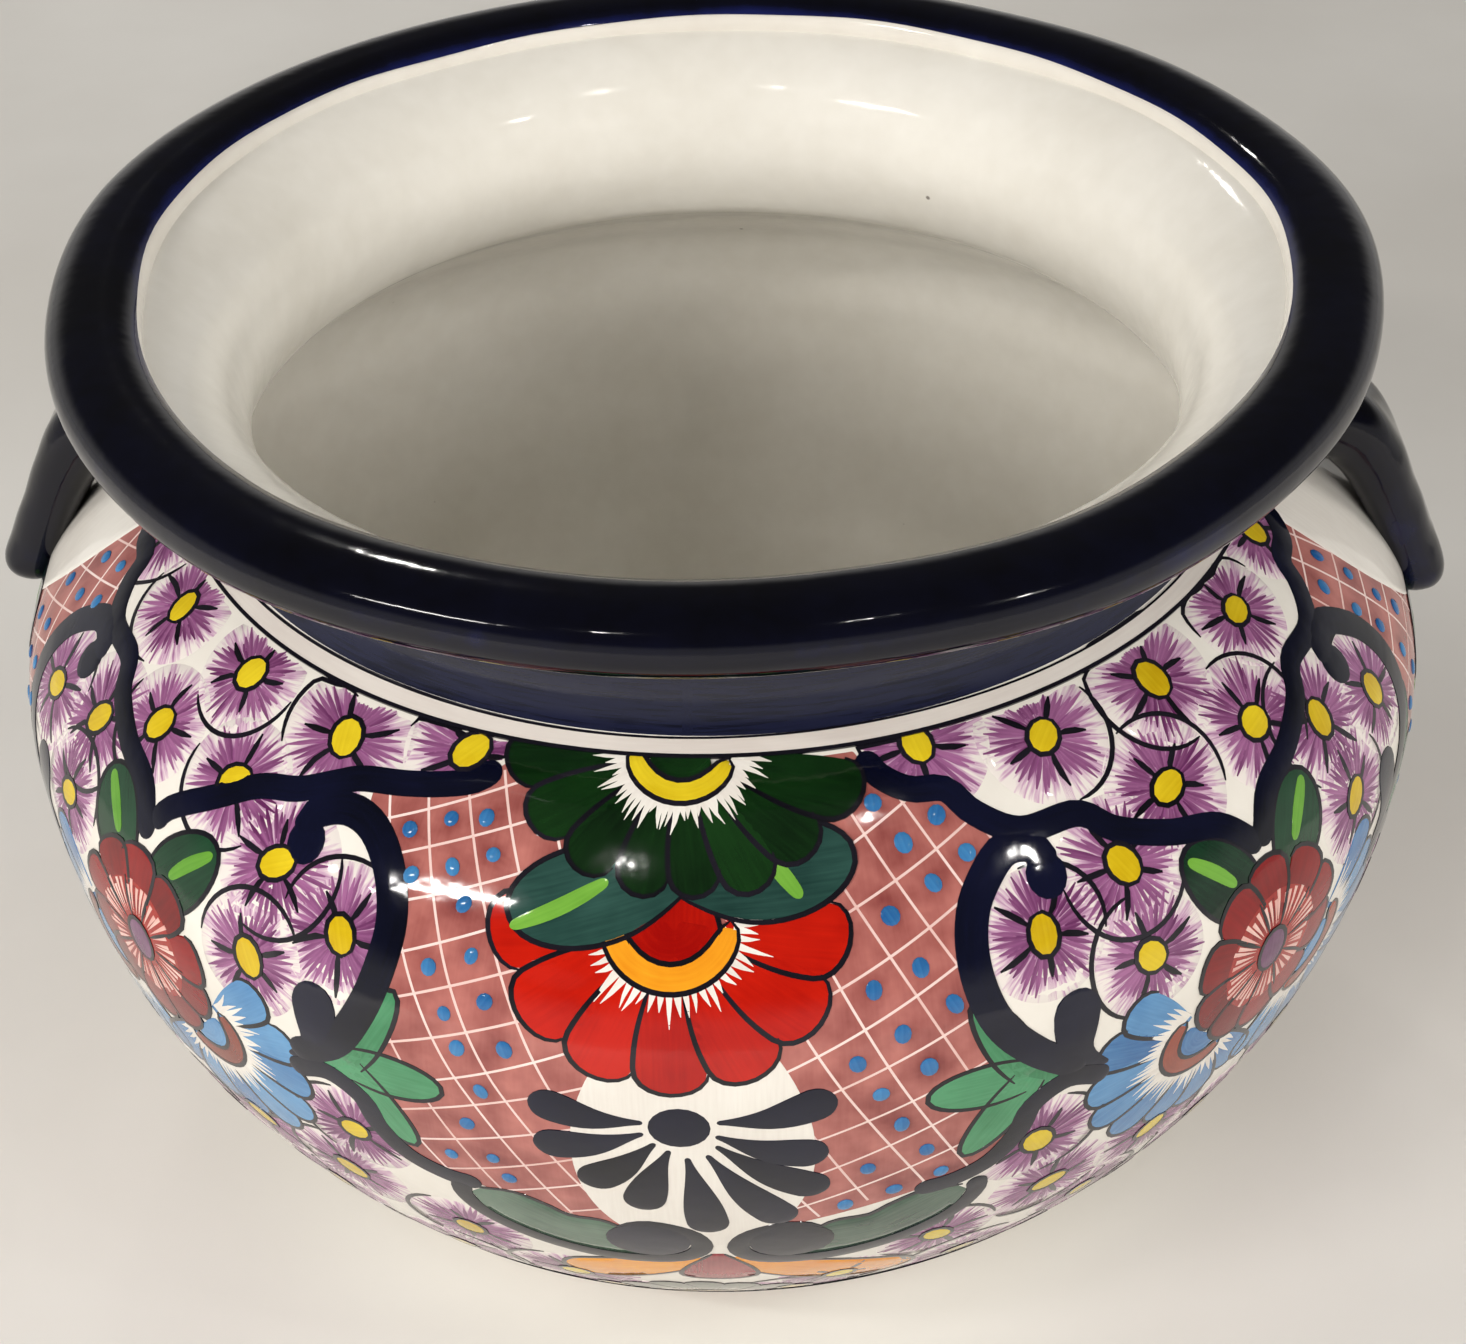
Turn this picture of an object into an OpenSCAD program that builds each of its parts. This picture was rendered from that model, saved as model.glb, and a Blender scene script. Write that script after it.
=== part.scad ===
// Round-bellied tin-glazed earthenware pot with a rolled rim and two strap handles.
// Millimetres, +Z up. The origin is the middle of the circle that the foot stands on.
// Front of the pot faces -Y, the handles sit on the X axis.

/* [Body] */
// Height from the table to the top of the rim
pot_h = 293; // [220:1:360]
// Widest diameter of the belly, over the glaze
belly_d = 420; // [340:1:510]
// Height of the widest line as a part of the whole height
belly_rise = 0.563; // [0.45:0.005:0.65]
// Diameter of the belly's lower edge, where it meets the foot
base_d = 263; // [190:1:320]
// Thickness of the clay wall
wall = 9; // [6:0.5:14]
// Thickness of the fired glaze coat
glaze = 0.8; // [0.4:0.1:1.5]

/* [Foot and floor] */
// Height of the turned foot ring
foot_h = 7; // [4:0.5:14]
// Width of the foot ring's standing face
foot_w = 18; // [12:0.5:26]
// Thickness of the floor slab
slab_t = 10; // [7:0.5:16]

/* [Neck and rim] */
// Outer diameter of the rolled rim
rim_d = 370; // [300:1:450]
// Width of the roll, measured along the radius
rim_w = 26; // [20:0.5:36]
// Height of the roll
rim_t = 18; // [12:0.5:26]
// Radius of the hollow curve of the neck
neck_r = 26; // [18:0.5:34]

/* [Handles] */
// Width of the strap
strap_w = 28; // [20:0.5:40]
// Thickness of the strap
strap_t = 15; // [9:0.5:20]
// Outward lean of the hanging leg, in degrees
strap_lean = 21.5; // [10:0.5:30]
// Bend radius of the elbow on the middle of the strap
elbow_r = 15; // [10:0.5:22]
// Diameter of the pegs that key the strap into the wall
peg_d = 8; // [5:0.5:10]

/* [Hidden] */
$fn = 96;
far = 2 * pot_h + belly_d;
belly_r = belly_d / 2;
belly_z = belly_rise * pot_h;
base_r = base_d / 2;
// Roll of the rim: two round edges and the flat between them
roll_r = rim_t / 2;
rim_z = pot_h - roll_r;
roll_in = rim_d / 2 - rim_w + roll_r;
roll_out = rim_d / 2 - roll_r;
rim_r = (roll_in + roll_out) / 2;
// Hollow curve of the neck, drawn about a centre outside the wall
neck_c = rim_r - 1;
neck_z = rim_z - roll_r - neck_r;
lip_z = rim_z - 2.5;
lip_r = roll_in - 2;
// Line where the neck meets the shoulder
join_turn = 36;
join_r = neck_c - neck_r * cos(join_turn);
join_z = neck_z - neck_r * sin(join_turn);
// Lower belly: one arc from the widest line to the foot
low_in = belly_r - base_r;
low_drop = belly_z - foot_h;
low_r = (low_in * low_in + low_drop * low_drop) / (2 * low_in);
low_c = belly_r - low_r;
// Shoulder: a tight arc at the widest line and a long arc up to the neck, tangent to each other
rise = join_z - belly_z;
turn_r = 0.757 * rise;
turn_c = belly_r - turn_r;
top_r = 2.04 * rise;
grow = top_r - turn_r;
lead_r = join_r - turn_c;
lead = sqrt(lead_r * lead_r + rise * rise);
turn_a = atan2(rise, lead_r) - acos((turn_r * turn_r + 2 * turn_r * grow - lead * lead) / (2 * grow * lead));
top_c = turn_c - grow * cos(turn_a);
top_z = belly_z - grow * sin(turn_a);
join_a = atan2(join_z - top_z, join_r - top_c);
// Floor and foot
floor_z = foot_h + slab_t;
slab_r = base_r - 13.5;
slab_lip = 6;
foot_out = base_r - 9;
foot_in = foot_out - foot_w;
key_w = foot_w / 3;
key_h = 3;
// Lapped joints
lap_h = 6;
lap_r = belly_r - glaze - wall / 2;
neck_lap_h = 5;
neck_in = neck_c - sqrt(pow(neck_r + wall, 2) - pow(join_z - neck_z, 2));
neck_lap_r = (neck_in + join_r + glaze) / 2;
tongue_w = 5;
tongue_in = roll_in - 4;
tongue_z = rim_z - 3;
// Path of the strap in the XZ plane
arm_z = neck_z - 9;
swell = 0.4;
bed = 2;
end_z = belly_z + 12;
end_x = turn_c + sqrt(turn_r * turn_r - 12 * 12) + 3;
leg_top_z = arm_z - elbow_r + elbow_r * sin(strap_lean);
leg_l = (leg_top_z - end_z) / cos(strap_lean);
leg_top_x = end_x - leg_l * sin(strap_lean);
elbow_x = leg_top_x - elbow_r * cos(strap_lean);
arm_from = neck_c - neck_r - 2;
peg_in = 5;
peg_z = belly_z + 22;
peg_x = turn_c + sqrt(turn_r * turn_r - 22 * 22) - glaze;

// Half outline of the pot at depth o below the glazed outside, filled to the axis and up to top
module side(o, top) {
    intersection() {
        translate([low_c, belly_z]) circle(r = low_r - o);
        translate([0, foot_h]) square([far, belly_z - foot_h]);
    }
    intersection() {
        translate([turn_c, belly_z]) circle(r = turn_r - o);
        translate([0, belly_z]) square([far, far]);
    }
    intersection() {
        translate([top_c, top_z]) circle(r = top_r - o);
        translate([turn_c, belly_z]) rotate(turn_a) translate([-far, 0]) square([2 * far, far]);
        translate([0, belly_z]) square([far, far]);
    }
    fill_r = join_r - o * cos(join_a);
    fill_z = join_z - o * sin(join_a);
    translate([0, belly_z]) square([fill_r, fill_z - belly_z]);
    difference() {
        translate([0, fill_z - 1]) square([neck_c, top - fill_z + 1]);
        translate([neck_c, neck_z]) circle(r = neck_r + o);
    }
}

// Half outline of the hollow, o further in than the clay
module hollow(o) {
    intersection() {
        side(glaze + wall + o, rim_z + 20);
        translate([0, floor_z + o]) square([far, far]);
    }
}

// Half section of the rim's roll
module roll() {
    translate([roll_in, rim_z]) circle(r = roll_r);
    translate([roll_out, rim_z]) circle(r = roll_r);
    translate([roll_in, rim_z - roll_r]) square([roll_out - roll_in, rim_t]);
}

// Half section of the tongue on the neck's top edge
module tongue() {
    difference() {
        translate([tongue_in, rim_z - roll_r - 3]) square([tongue_w, tongue_z - rim_z + roll_r + 3]);
        translate([neck_c, neck_z]) circle(r = neck_r + glaze);
    }
}

// Half section of the clay wall between the floor and the lip
module clay() {
    difference() {
        side(glaze, lip_z);
        hollow(0);
        roll();
        translate([lip_r - 2, rim_z - roll_r - 1]) square([far, far]);
    }
}

// Half section of the floor slab with its wider upper step
module slab() {
    translate([0, foot_h]) square([slab_r, slab_t]);
    translate([0, foot_h + slab_t / 2]) square([slab_r + slab_lip, slab_t / 2]);
}

// Half section of the key on top of the foot ring
module key() {
    translate([foot_in + key_w, foot_h - 1]) square([key_w, key_h + 1]);
}

// Zone below the lapped joint at the widest line
module lower_zone() {
    square([far, belly_z]);
    square([lap_r, belly_z + lap_h]);
}

// Zone above the lapped joint at the neck
module neck_zone() {
    translate([0, join_z]) square([far, far]);
    translate([0, join_z - neck_lap_h]) square([neck_lap_r, far]);
}

// Cross-section of the strap, width along X and thickness along Y, swelled by more on every side
module strap_section(more) {
    flat = strap_w - strap_t;
    square([flat, strap_t + 2 * more], center = true);
    translate([flat / 2, 0]) circle(d = strap_t + 2 * more);
    translate([-flat / 2, 0]) circle(d = strap_t + 2 * more);
}

// Level arm of the strap, from the neck into the elbow
module arm() {
    translate([arm_from, 0, arm_z]) rotate([90, 0, 90])
        linear_extrude(elbow_x - arm_from + bed) strap_section(0);
}

// Elbow of the strap, a slightly swelled bend about a line along Y
module elbow() {
    translate([elbow_x, 0, arm_z - elbow_r]) rotate([90, 0, 0]) rotate([0, 0, strap_lean])
        rotate_extrude(angle = 90 - strap_lean) translate([elbow_r, 0]) rotate(90) strap_section(swell);
}

// Leaning leg of the strap, from inside the elbow to the belly
module leg() {
    translate([leg_top_x - bed * sin(strap_lean), 0, leg_top_z + bed * cos(strap_lean)])
        rotate([0, 180 - strap_lean, 0]) linear_extrude(leg_l + bed) rotate(90) strap_section(0);
}

// Whole strap on the +X side, its ends still running into the wall
module strap() {
    arm();
    elbow();
    leg();
}

// Pegs that key the strap's two ends into the wall
module pegs() {
    translate([arm_from + 2 + glaze - peg_in, 0, arm_z]) rotate([0, 90, 0]) cylinder(d = peg_d, h = peg_in + 6);
    translate([peg_x - peg_in, 0, peg_z]) rotate([0, 90, 0]) cylinder(d = peg_d, h = peg_in + 4);
}

// Pegs of both handles
module all_pegs() {
    pegs();
    rotate([0, 0, 180]) pegs();
}

// One handle on the +X side, its ends cut to the clay
module handle() {
    difference() {
        strap();
        rotate_extrude() side(glaze, lip_z);
    }
    pegs();
}

module foot_ring() {
    soft = 3;
    color([0.72, 0.45, 0.32]) rotate_extrude() {
        translate([foot_in + soft, 0]) square([foot_w - 2 * soft, foot_h]);
        translate([foot_in, soft]) square([foot_w, foot_h - soft]);
        translate([foot_in + soft, soft]) circle(r = soft);
        translate([foot_in + foot_w - soft, soft]) circle(r = soft);
        key();
    }
}

module base_slab() {
    color([0.74, 0.47, 0.34]) rotate_extrude() difference() {
        slab();
        key();
    }
}

module lower_bowl() {
    color([0.76, 0.49, 0.36]) rotate_extrude() intersection() {
        difference() {
            clay();
            slab();
        }
        lower_zone();
    }
}

module upper_bowl() {
    color([0.78, 0.51, 0.38]) difference() {
        rotate_extrude() difference() {
            clay();
            lower_zone();
            neck_zone();
        }
        all_pegs();
    }
}

module neck_collar() {
    color([0.80, 0.53, 0.40]) difference() {
        rotate_extrude() {
            intersection() {
                clay();
                neck_zone();
            }
            tongue();
        }
        all_pegs();
    }
}

module rim_roll() {
    color([0.06, 0.07, 0.14]) rotate_extrude() difference() {
        roll();
        tongue();
    }
}

module left_handle() {
    color([0.05, 0.06, 0.12]) rotate([0, 0, 180]) handle();
}

module right_handle() {
    color([0.05, 0.06, 0.12]) handle();
}

module inner_glaze() {
    color([0.93, 0.91, 0.86]) rotate_extrude() difference() {
        hollow(0);
        hollow(glaze);
        roll();
        translate([0, lip_z]) square([far, far]);
    }
}

module outer_glaze() {
    color([0.90, 0.87, 0.82]) difference() {
        rotate_extrude() difference() {
            side(0, lip_z);
            side(glaze, rim_z);
            roll();
            square([far, foot_h + 1]);
            translate([lip_r, rim_z - roll_r - 5]) square([far, far]);
            translate([0, rim_z - roll_r]) square([far, far]);
        }
        strap();
        rotate([0, 0, 180]) strap();
    }
}

foot_ring();
base_slab();
lower_bowl();
upper_bowl();
neck_collar();
rim_roll();
left_handle();
right_handle();
inner_glaze();
outer_glaze();
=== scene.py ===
# %% [markdown]
# # A hand-painted flower pot, one step at a time
# This lesson dresses a round-bellied pot of tin-glazed earthenware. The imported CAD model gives
# the clay: foot, floor, two bowls, neck, rim and handles. Here we add what the eye sees, which is
# the glaze, the brushwork and the light. We load the model first, because every later size is
# read from it and nothing is moved to fit afterwards.

import math

import bmesh
import bpy
import numpy as np
from mathutils import Matrix, Vector


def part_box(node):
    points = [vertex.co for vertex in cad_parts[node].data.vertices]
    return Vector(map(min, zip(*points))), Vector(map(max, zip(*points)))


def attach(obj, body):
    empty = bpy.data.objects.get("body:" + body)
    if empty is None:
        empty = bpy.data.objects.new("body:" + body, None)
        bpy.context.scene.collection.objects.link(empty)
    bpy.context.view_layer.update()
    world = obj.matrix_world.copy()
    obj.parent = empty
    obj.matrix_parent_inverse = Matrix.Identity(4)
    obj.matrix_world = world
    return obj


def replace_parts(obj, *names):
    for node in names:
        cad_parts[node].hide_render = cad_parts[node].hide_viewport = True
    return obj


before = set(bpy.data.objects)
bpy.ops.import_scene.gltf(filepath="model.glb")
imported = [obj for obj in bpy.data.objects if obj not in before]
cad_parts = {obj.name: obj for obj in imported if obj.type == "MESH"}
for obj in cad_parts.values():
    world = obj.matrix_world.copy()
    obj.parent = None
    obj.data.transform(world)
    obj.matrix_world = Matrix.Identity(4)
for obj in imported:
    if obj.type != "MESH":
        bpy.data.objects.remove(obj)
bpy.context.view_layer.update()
MM = 0.001

# %% [markdown]
# ## The photographer's place
# The picture looks down into the mouth from a little above the rim. We could nudge a camera by
# hand, but the rim's two ellipses fix it, so the eye point, the aim point and the lens are written
# as real sizes. The lens comes from the picture's own width of 1466 pixels.

# %% Camera
IMAGE_W = 1466
FOCAL_PX = 2464
SENSOR_MM = 36.0
step_aside = Matrix.Rotation(math.radians(3.0), 3, "Z")
eye = step_aside @ Vector((0, -0.6192, 0.6201))
aim = step_aside @ Vector((0.00327, 0, 0.1371))
tilt = math.radians(-1.43)
look = (aim - eye).normalized()
level = look.cross(Vector((0, 0, 1))).normalized()
upright = level.cross(look)
cam_x = math.cos(tilt) * level + math.sin(tilt) * upright
cam_y = math.cos(tilt) * upright - math.sin(tilt) * level
camera_data = bpy.data.cameras.new("camera")
camera_data.sensor_width = SENSOR_MM
camera_data.lens = FOCAL_PX / IMAGE_W * SENSOR_MM
camera = bpy.data.objects.new("camera", camera_data)
camera.matrix_world = Matrix((cam_x, cam_y, -look)).transposed().to_4x4()
camera.location = eye
bpy.context.scene.collection.objects.link(camera)
bpy.context.scene.camera = camera
bpy.context.scene.view_settings.view_transform = "Standard"
print("lens in mm:", round(camera_data.lens, 2))

# %% [markdown]
# ## The side as one curve
# A potter's profile is a few arcs: a hollow neck, a long shoulder, a tight turn at the widest line
# and one big arc down to the foot. We rebuild these arcs from the frame and measure along them, so
# a place on the side is two numbers: degrees from the front, and millimetres down from the neck
# line. All the brushwork is drawn on that flat map and then wrapped onto the pot.

# %% Sizes of the pot in millimetres
rim_low, rim_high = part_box("rim_roll")
roll_r = (rim_high.z - rim_low.z) / 2 / MM
rim_z = rim_high.z / MM - roll_r
rim_w = 26.0
rim_r = rim_high.x / MM - rim_w / 2
belly_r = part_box("outer_glaze")[1].x / MM
belly_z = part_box("upper_bowl")[0].z / MM
foot_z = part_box("lower_bowl")[0].z / MM
base_r = 131.5
neck_r = 26.0
wall = 9.0
coat = 0.8
print("rim", round(rim_r), "belly", round(belly_r), "widest at", round(belly_z))

# %% Arcs of the side
neck_c, neck_z = rim_r - 1, rim_z - roll_r - neck_r
join_r = neck_c - neck_r * math.cos(math.radians(36))
join_z = neck_z - neck_r * math.sin(math.radians(36))
low_in, low_drop = belly_r - base_r, belly_z - foot_z
low_r = (low_in ** 2 + low_drop ** 2) / (2 * low_in)
rise = join_z - belly_z
turn_r, top_r = 0.757 * rise, 2.04 * rise
turn_c, grow = belly_r - turn_r, top_r - turn_r
lead = math.hypot(join_r - turn_c, rise)
turn_a = math.atan2(rise, join_r - turn_c) - math.acos(
    (turn_r ** 2 + 2 * turn_r * grow - lead ** 2) / (2 * grow * lead))
top_c, top_z = turn_c - grow * math.cos(turn_a), belly_z - grow * math.sin(turn_a)
join_a = math.atan2(join_z - top_z, join_r - top_c)


def arc(centre, radius, start, end, facing=1):
    """Points on an arc every half millimetre, each with the direction that faces out of the clay."""
    a = np.linspace(start, end, max(3, int(abs(end - start) * radius / 0.5)))
    c, k = np.cos(a), np.sin(a)
    return np.column_stack([centre[0] + radius * c, centre[1] + radius * k, facing * c, facing * k])


def measured(arcs, zero):
    """The arcs in one table of length, radius, height and facing, with length 0 at the end of arc zero."""
    table = np.vstack(arcs)
    run = np.concatenate([[0], np.cumsum(np.hypot(*np.diff(table[:, :2], axis=0).T))])
    return np.column_stack([run - run[len(np.vstack(arcs[:zero])) - 1], table])


SIDE = measured([
    arc((neck_c, neck_z), neck_r, math.radians(92), math.radians(216), -1),
    arc((top_c, top_z), top_r, join_a, turn_a),
    arc((turn_c, belly_z), turn_r, turn_a, 0),
    arc((belly_r - low_r, belly_z), low_r, 0, -math.asin(low_drop / low_r)),
], 1)
FOOT_S = SIDE[-1, 0]
print("the side runs from", SIDE[0, 0].round(1), "to", FOOT_S.round(1), "mm")

# %% Places on the side


def radius_at(s):
    """How far the side stands from the axis, in mm."""
    return np.interp(s, SIDE[:, 0], SIDE[:, 1])


def hand_wobble(theta, s):
    """How far the hand-worked wall swells from a true round, in millimetres."""
    t = np.radians(theta)
    return 0.25 + 0.3 * np.sin(2 * t + 0.7) + 0.2 * np.sin(3 * t - s / 45) + 0.12 * np.sin(5 * t + s / 25)


def on_side(theta, s, lift):
    """A place on the side in metres: degrees right of the front, mm below the neck line, mm proud."""
    r, z, out_r, out_z = (np.interp(s, SIDE[:, 0], SIDE[:, k]) for k in range(1, 5))
    proud = lift + hand_wobble(theta, s)
    a = np.radians(theta - 90)
    reach = r + out_r * proud
    return np.column_stack([reach * np.cos(a), reach * np.sin(a), z + out_z * proud]) * MM


print("front of the belly:", on_side(np.zeros(1), np.full(1, 96.3), np.zeros(1)).round(4))

# %% [markdown]
# ## Glazes as small node trees
# A brushed glaze is never one flat colour: it pools dark where the brush rests and thins out along
# the stroke. Each finish therefore mixes two tones by three things: a soft cloudy noise, streaks
# that follow the brush, and a tone of its own for each stroke. One function makes them all, and
# the gloss stays alike, because the whole pot went through the same firing.

# %% Nodes and tones


def tone(red, green, blue):
    """A colour picked on screen, 0 to 255, as the linear numbers that a shader takes."""
    part = [v / 255 for v in (red, green, blue)]
    return tuple(v / 12.92 if v < 0.04045 else ((v + 0.055) / 1.055) ** 2.4 for v in part) + (1.0,)


def add(tree, kind, links=(), **settings):
    """A node with its inputs set by name, and linked from (input, output socket) pairs."""
    new = tree.nodes.new(kind)
    for name, value in settings.items():
        if name in new.inputs:
            new.inputs[name].default_value = value
        else:
            setattr(new, name, value)
    for name, source in links:
        tree.links.new(new.inputs[name], source)
    return new


def blank(name):
    """A new material with an empty glossy shader, and its node tree."""
    made = bpy.data.materials.new(name)
    made.use_nodes = True
    return made, made.node_tree, made.node_tree.nodes["Principled BSDF"]


def ramp(tree, factor, *stops):
    """A colour ramp with its stops given as (place, colour)."""
    new = add(tree, "ShaderNodeValToRGB", [("Fac", factor)])
    while len(new.color_ramp.elements) < len(stops):
        new.color_ramp.elements.new(0.5)
    for element, (place, colour) in zip(new.color_ramp.elements, stops):
        element.position = place
        element.color = colour
    return new.outputs["Color"]


def noise(tree, scale, detail=3.0, coords=None):
    """A cloudy noise, by default over the object's own space."""
    if coords is None:
        coords = add(tree, "ShaderNodeTexCoord").outputs["Object"]
    return add(tree, "ShaderNodeTexNoise", [("Vector", coords)], Scale=scale, Detail=detail).outputs["Fac"]


print("a middle grey is", round(tone(128, 128, 128)[0], 3), "to a shader")

# %% What all glazes share
CLOUD_SHARE, OWN_SHARE = 0.75, 0.35


def orange_peel(tree, shader, strength):
    """The faint waviness of a fired glaze, as bump."""
    waves = noise(tree, 95.0, 2.0)
    bump = add(tree, "ShaderNodeBump", [("Height", waves)], Strength=strength, Distance=0.0015)
    tree.links.new(shader.inputs["Normal"], bump.outputs["Normal"])


def gloss(tree, shader, low, high):
    """Roughness that drifts between two values."""
    drift = add(tree, "ShaderNodeMapRange", [("Value", noise(tree, 40.0))])
    drift.inputs["To Min"].default_value = low
    drift.inputs["To Max"].default_value = high
    tree.links.new(shader.inputs["Roughness"], drift.outputs["Result"])


def total(tree, *parts):
    """The sum of (socket, share) pairs."""
    value = None
    for socket, share in parts:
        scaled = add(tree, "ShaderNodeMath", operation="MULTIPLY")
        tree.links.new(scaled.inputs[0], socket)
        scaled.inputs[1].default_value = share
        if value is None:
            value = scaled.outputs[0]
            continue
        both = add(tree, "ShaderNodeMath", operation="ADD")
        tree.links.new(both.inputs[0], value)
        tree.links.new(both.inputs[1], scaled.outputs[0])
        value = both.outputs[0]
    return value


def brushed_glaze(name, deep, thin, cloud=60.0, streak=0.4):
    """A painted finish between a deep and a thin tone: cloud is how fine its clouds are, and streak how
    much it shows the brush."""
    made, tree, shader = blank(name)
    along = add(tree, "ShaderNodeUVMap", uv_map="brush").outputs["UV"]
    stretch = add(tree, "ShaderNodeMapping", [("Vector", along)], Scale=(0.06, 1.1, 1.0))
    streaks = noise(tree, 1.0, 2.0, stretch.outputs[0])
    own = add(tree, "ShaderNodeAttribute", attribute_name="tone").outputs["Fac"]
    mix = total(tree, (noise(tree, cloud), CLOUD_SHARE), (streaks, streak), (own, OWN_SHARE))
    middle = (CLOUD_SHARE + streak + OWN_SHARE) / 2
    tree.links.new(shader.inputs["Base Color"], ramp(tree, mix, (middle - 0.3, deep), (middle + 0.3, thin)))
    gloss(tree, shader, 0.04, 0.10)
    orange_peel(tree, shader, 0.10)
    return made


print("glaze helpers ready, own tone weighs", OWN_SHARE)

# %% [markdown]
# ## White tin glaze and bare clay
# Tin makes a glaze milky, so the ground is a warm white with faint grey clouds. One flat white would
# look like plastic, so two noises, a broad and a fine one, drift between a pale and a warm tone. The
# same glaze lines the inside. Under it sits red clay, which shows only on the unglazed foot; the
# other clay parts stay hidden under their coat, but they get the clay's finish too.

# %% Ground materials
CLAY_PARTS = ("foot_ring", "base_slab", "lower_bowl", "upper_bowl", "neck_collar")
NO_TINT = (1, 1, 1, 1)


def tin_glaze(name, pale, warm, speck=0.0):
    """Milky glaze with soft clouds, and a few iron specks if asked for."""
    made, tree, shader = blank(name)
    cloudy = total(tree, (noise(tree, 14.0, 4.0), 0.7), (noise(tree, 120.0, 2.0), 0.3))
    colour = ramp(tree, cloudy, (0.3, warm), (0.7, pale))
    if speck:
        inside = add(tree, "ShaderNodeTexCoord").outputs["Object"]
        cells = add(tree, "ShaderNodeTexVoronoi", [("Vector", inside)], Scale=speck)
        spots = ramp(tree, cells.outputs["Distance"], (0.018, tone(70, 50, 36)), (0.03, NO_TINT))
        stain = add(tree, "ShaderNodeMix", data_type="RGBA", blend_type="MULTIPLY")
        stain.inputs[0].default_value = 0.7
        # A Mix node keeps its two colours at inputs 6 and 7, and the mixed colour at output 2
        tree.links.new(stain.inputs[6], colour)
        tree.links.new(stain.inputs[7], spots)
        colour = stain.outputs[2]
    tree.links.new(shader.inputs["Base Color"], colour)
    gloss(tree, shader, 0.07, 0.16)
    orange_peel(tree, shader, 0.12)
    return made


def red_clay():
    """Fired earthenware with grog specks and turning marks."""
    made, tree, shader = blank("red_clay")
    grain = total(tree, (noise(tree, 25.0, 6.0), 0.6), (noise(tree, 420.0, 2.0), 0.4))
    tree.links.new(shader.inputs["Base Color"], ramp(
        tree, grain, (0.32, tone(138, 80, 58)), (0.52, tone(178, 112, 84)), (0.7, tone(202, 146, 116))))
    gloss(tree, shader, 0.72, 0.92)
    bump = add(tree, "ShaderNodeBump", [("Height", grain)], Strength=0.5, Distance=0.0008)
    tree.links.new(shader.inputs["Normal"], bump.outputs["Normal"])
    return made


white_ground = tin_glaze("white_ground", tone(238, 234, 225), tone(226, 220, 210))
cream_lining = tin_glaze("cream_lining", tone(240, 237, 229), tone(227, 223, 213), speck=32.0)
clay = red_clay()
for node in CLAY_PARTS:
    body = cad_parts[node]
    body.data.materials.clear()
    body.data.materials.append(clay)
print("clay on", len(CLAY_PARTS), "parts")

# %% [markdown]
# ## From points to pieces
# Every mesh below is made from plain lists of points and faces. One function turns them into an
# object: it turns all faces outwards, keeps hard edges hard, and stores the extra maps that the
# glazes read. The flat map of degrees and millimetres doubles as the texture layout for export.

# %% Make a piece


def make_piece(name, points, faces, material, brush=None, own=None, flat=None):
    """A mesh object in the frame that rides on the pot."""
    mesh = bpy.data.meshes.new(name)
    mesh.from_pydata(points.tolist(), [], faces)
    if brush is not None:
        corner = np.empty(len(mesh.loops), int)
        mesh.loops.foreach_get("vertex_index", corner)
        mesh.uv_layers.new(name="brush").data.foreach_set("uv", brush[corner].ravel())
        mesh.uv_layers.new(name="OFBake").data.foreach_set("uv", flat[corner].ravel())
        mesh.attributes.new("tone", "FLOAT", "POINT").data.foreach_set("value", own)
    work = bmesh.new()
    work.from_mesh(mesh)
    bmesh.ops.recalc_face_normals(work, faces=work.faces)
    work.to_mesh(mesh)
    work.free()
    mesh.shade_smooth()
    mesh.set_sharp_from_angle(angle=math.radians(38))
    mesh.materials.append(material)
    piece = bpy.data.objects.new(name, mesh)
    bpy.context.scene.collection.objects.link(piece)
    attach(piece, "root")
    return piece


def wrapped_faces(rows, columns, closed_rows=True):
    """Quads of a grid that closes round its columns, and round its rows too if asked."""
    i, j = np.meshgrid(np.arange(rows if closed_rows else rows - 1), np.arange(columns), indexing="ij")
    below, beside = (i + 1) % rows, (j + 1) % columns
    return np.stack([i * columns + j, i * columns + beside, below * columns + beside, below * columns + j],
                    -1).reshape(-1, 4).tolist()


def tube_faces(rows, columns):
    """Quads of a tube with a cap at each end."""
    last = (rows - 1) * columns
    return wrapped_faces(rows, columns, closed_rows=False) + [
        list(range(columns)), list(range(last, last + columns))]


print("a tube of 3 rings with 8 sides has", len(tube_faces(3, 8)), "faces")

# %% [markdown]
# ## The white coat outside
# The coat is a thin shell that follows the side with a slight hand wobble. A lathe of perfect
# circles would look machined, and a displaced sphere would lose the neck's crease, so the shell is
# a grid over the same flat map that the brushwork uses. Its back is buried in the clay.

# %% Outer coat
AROUND_STEPS = 288
AROUND = np.arange(AROUND_STEPS) * 360 / AROUND_STEPS
COAT_END = FOOT_S - 1.5
COAT_BACK = -0.75


def coat_rows(lengths, lift):
    """Rings of points at each length down the side."""
    theta, s = np.meshgrid(AROUND, lengths)
    return on_side(theta.ravel(), s.ravel(), np.full(s.size, lift))


front_rows = np.linspace(SIDE[0, 0], COAT_END, 124)
back_rows = np.linspace(COAT_END, SIDE[0, 0], 26)
coat_points = np.vstack([coat_rows(front_rows, 0.0), coat_rows(back_rows, COAT_BACK)])
coat_faces = wrapped_faces(len(front_rows) + len(back_rows), AROUND_STEPS)
outer_coat = make_piece("outer_coat", coat_points, coat_faces, white_ground)
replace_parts(outer_coat, "outer_glaze")
print("outer coat:", len(outer_coat.data.polygons), "faces")

# %% [markdown]
# ## The cream lining
# Inside, the wall follows the outside at the wall's thickness, with a soft turn where the neck
# meets the belly and another at the floor. The potter's fingers leave low rings, which catch the
# light, so they are modelled. The lining's corner is softened by averaging along the profile.

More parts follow.
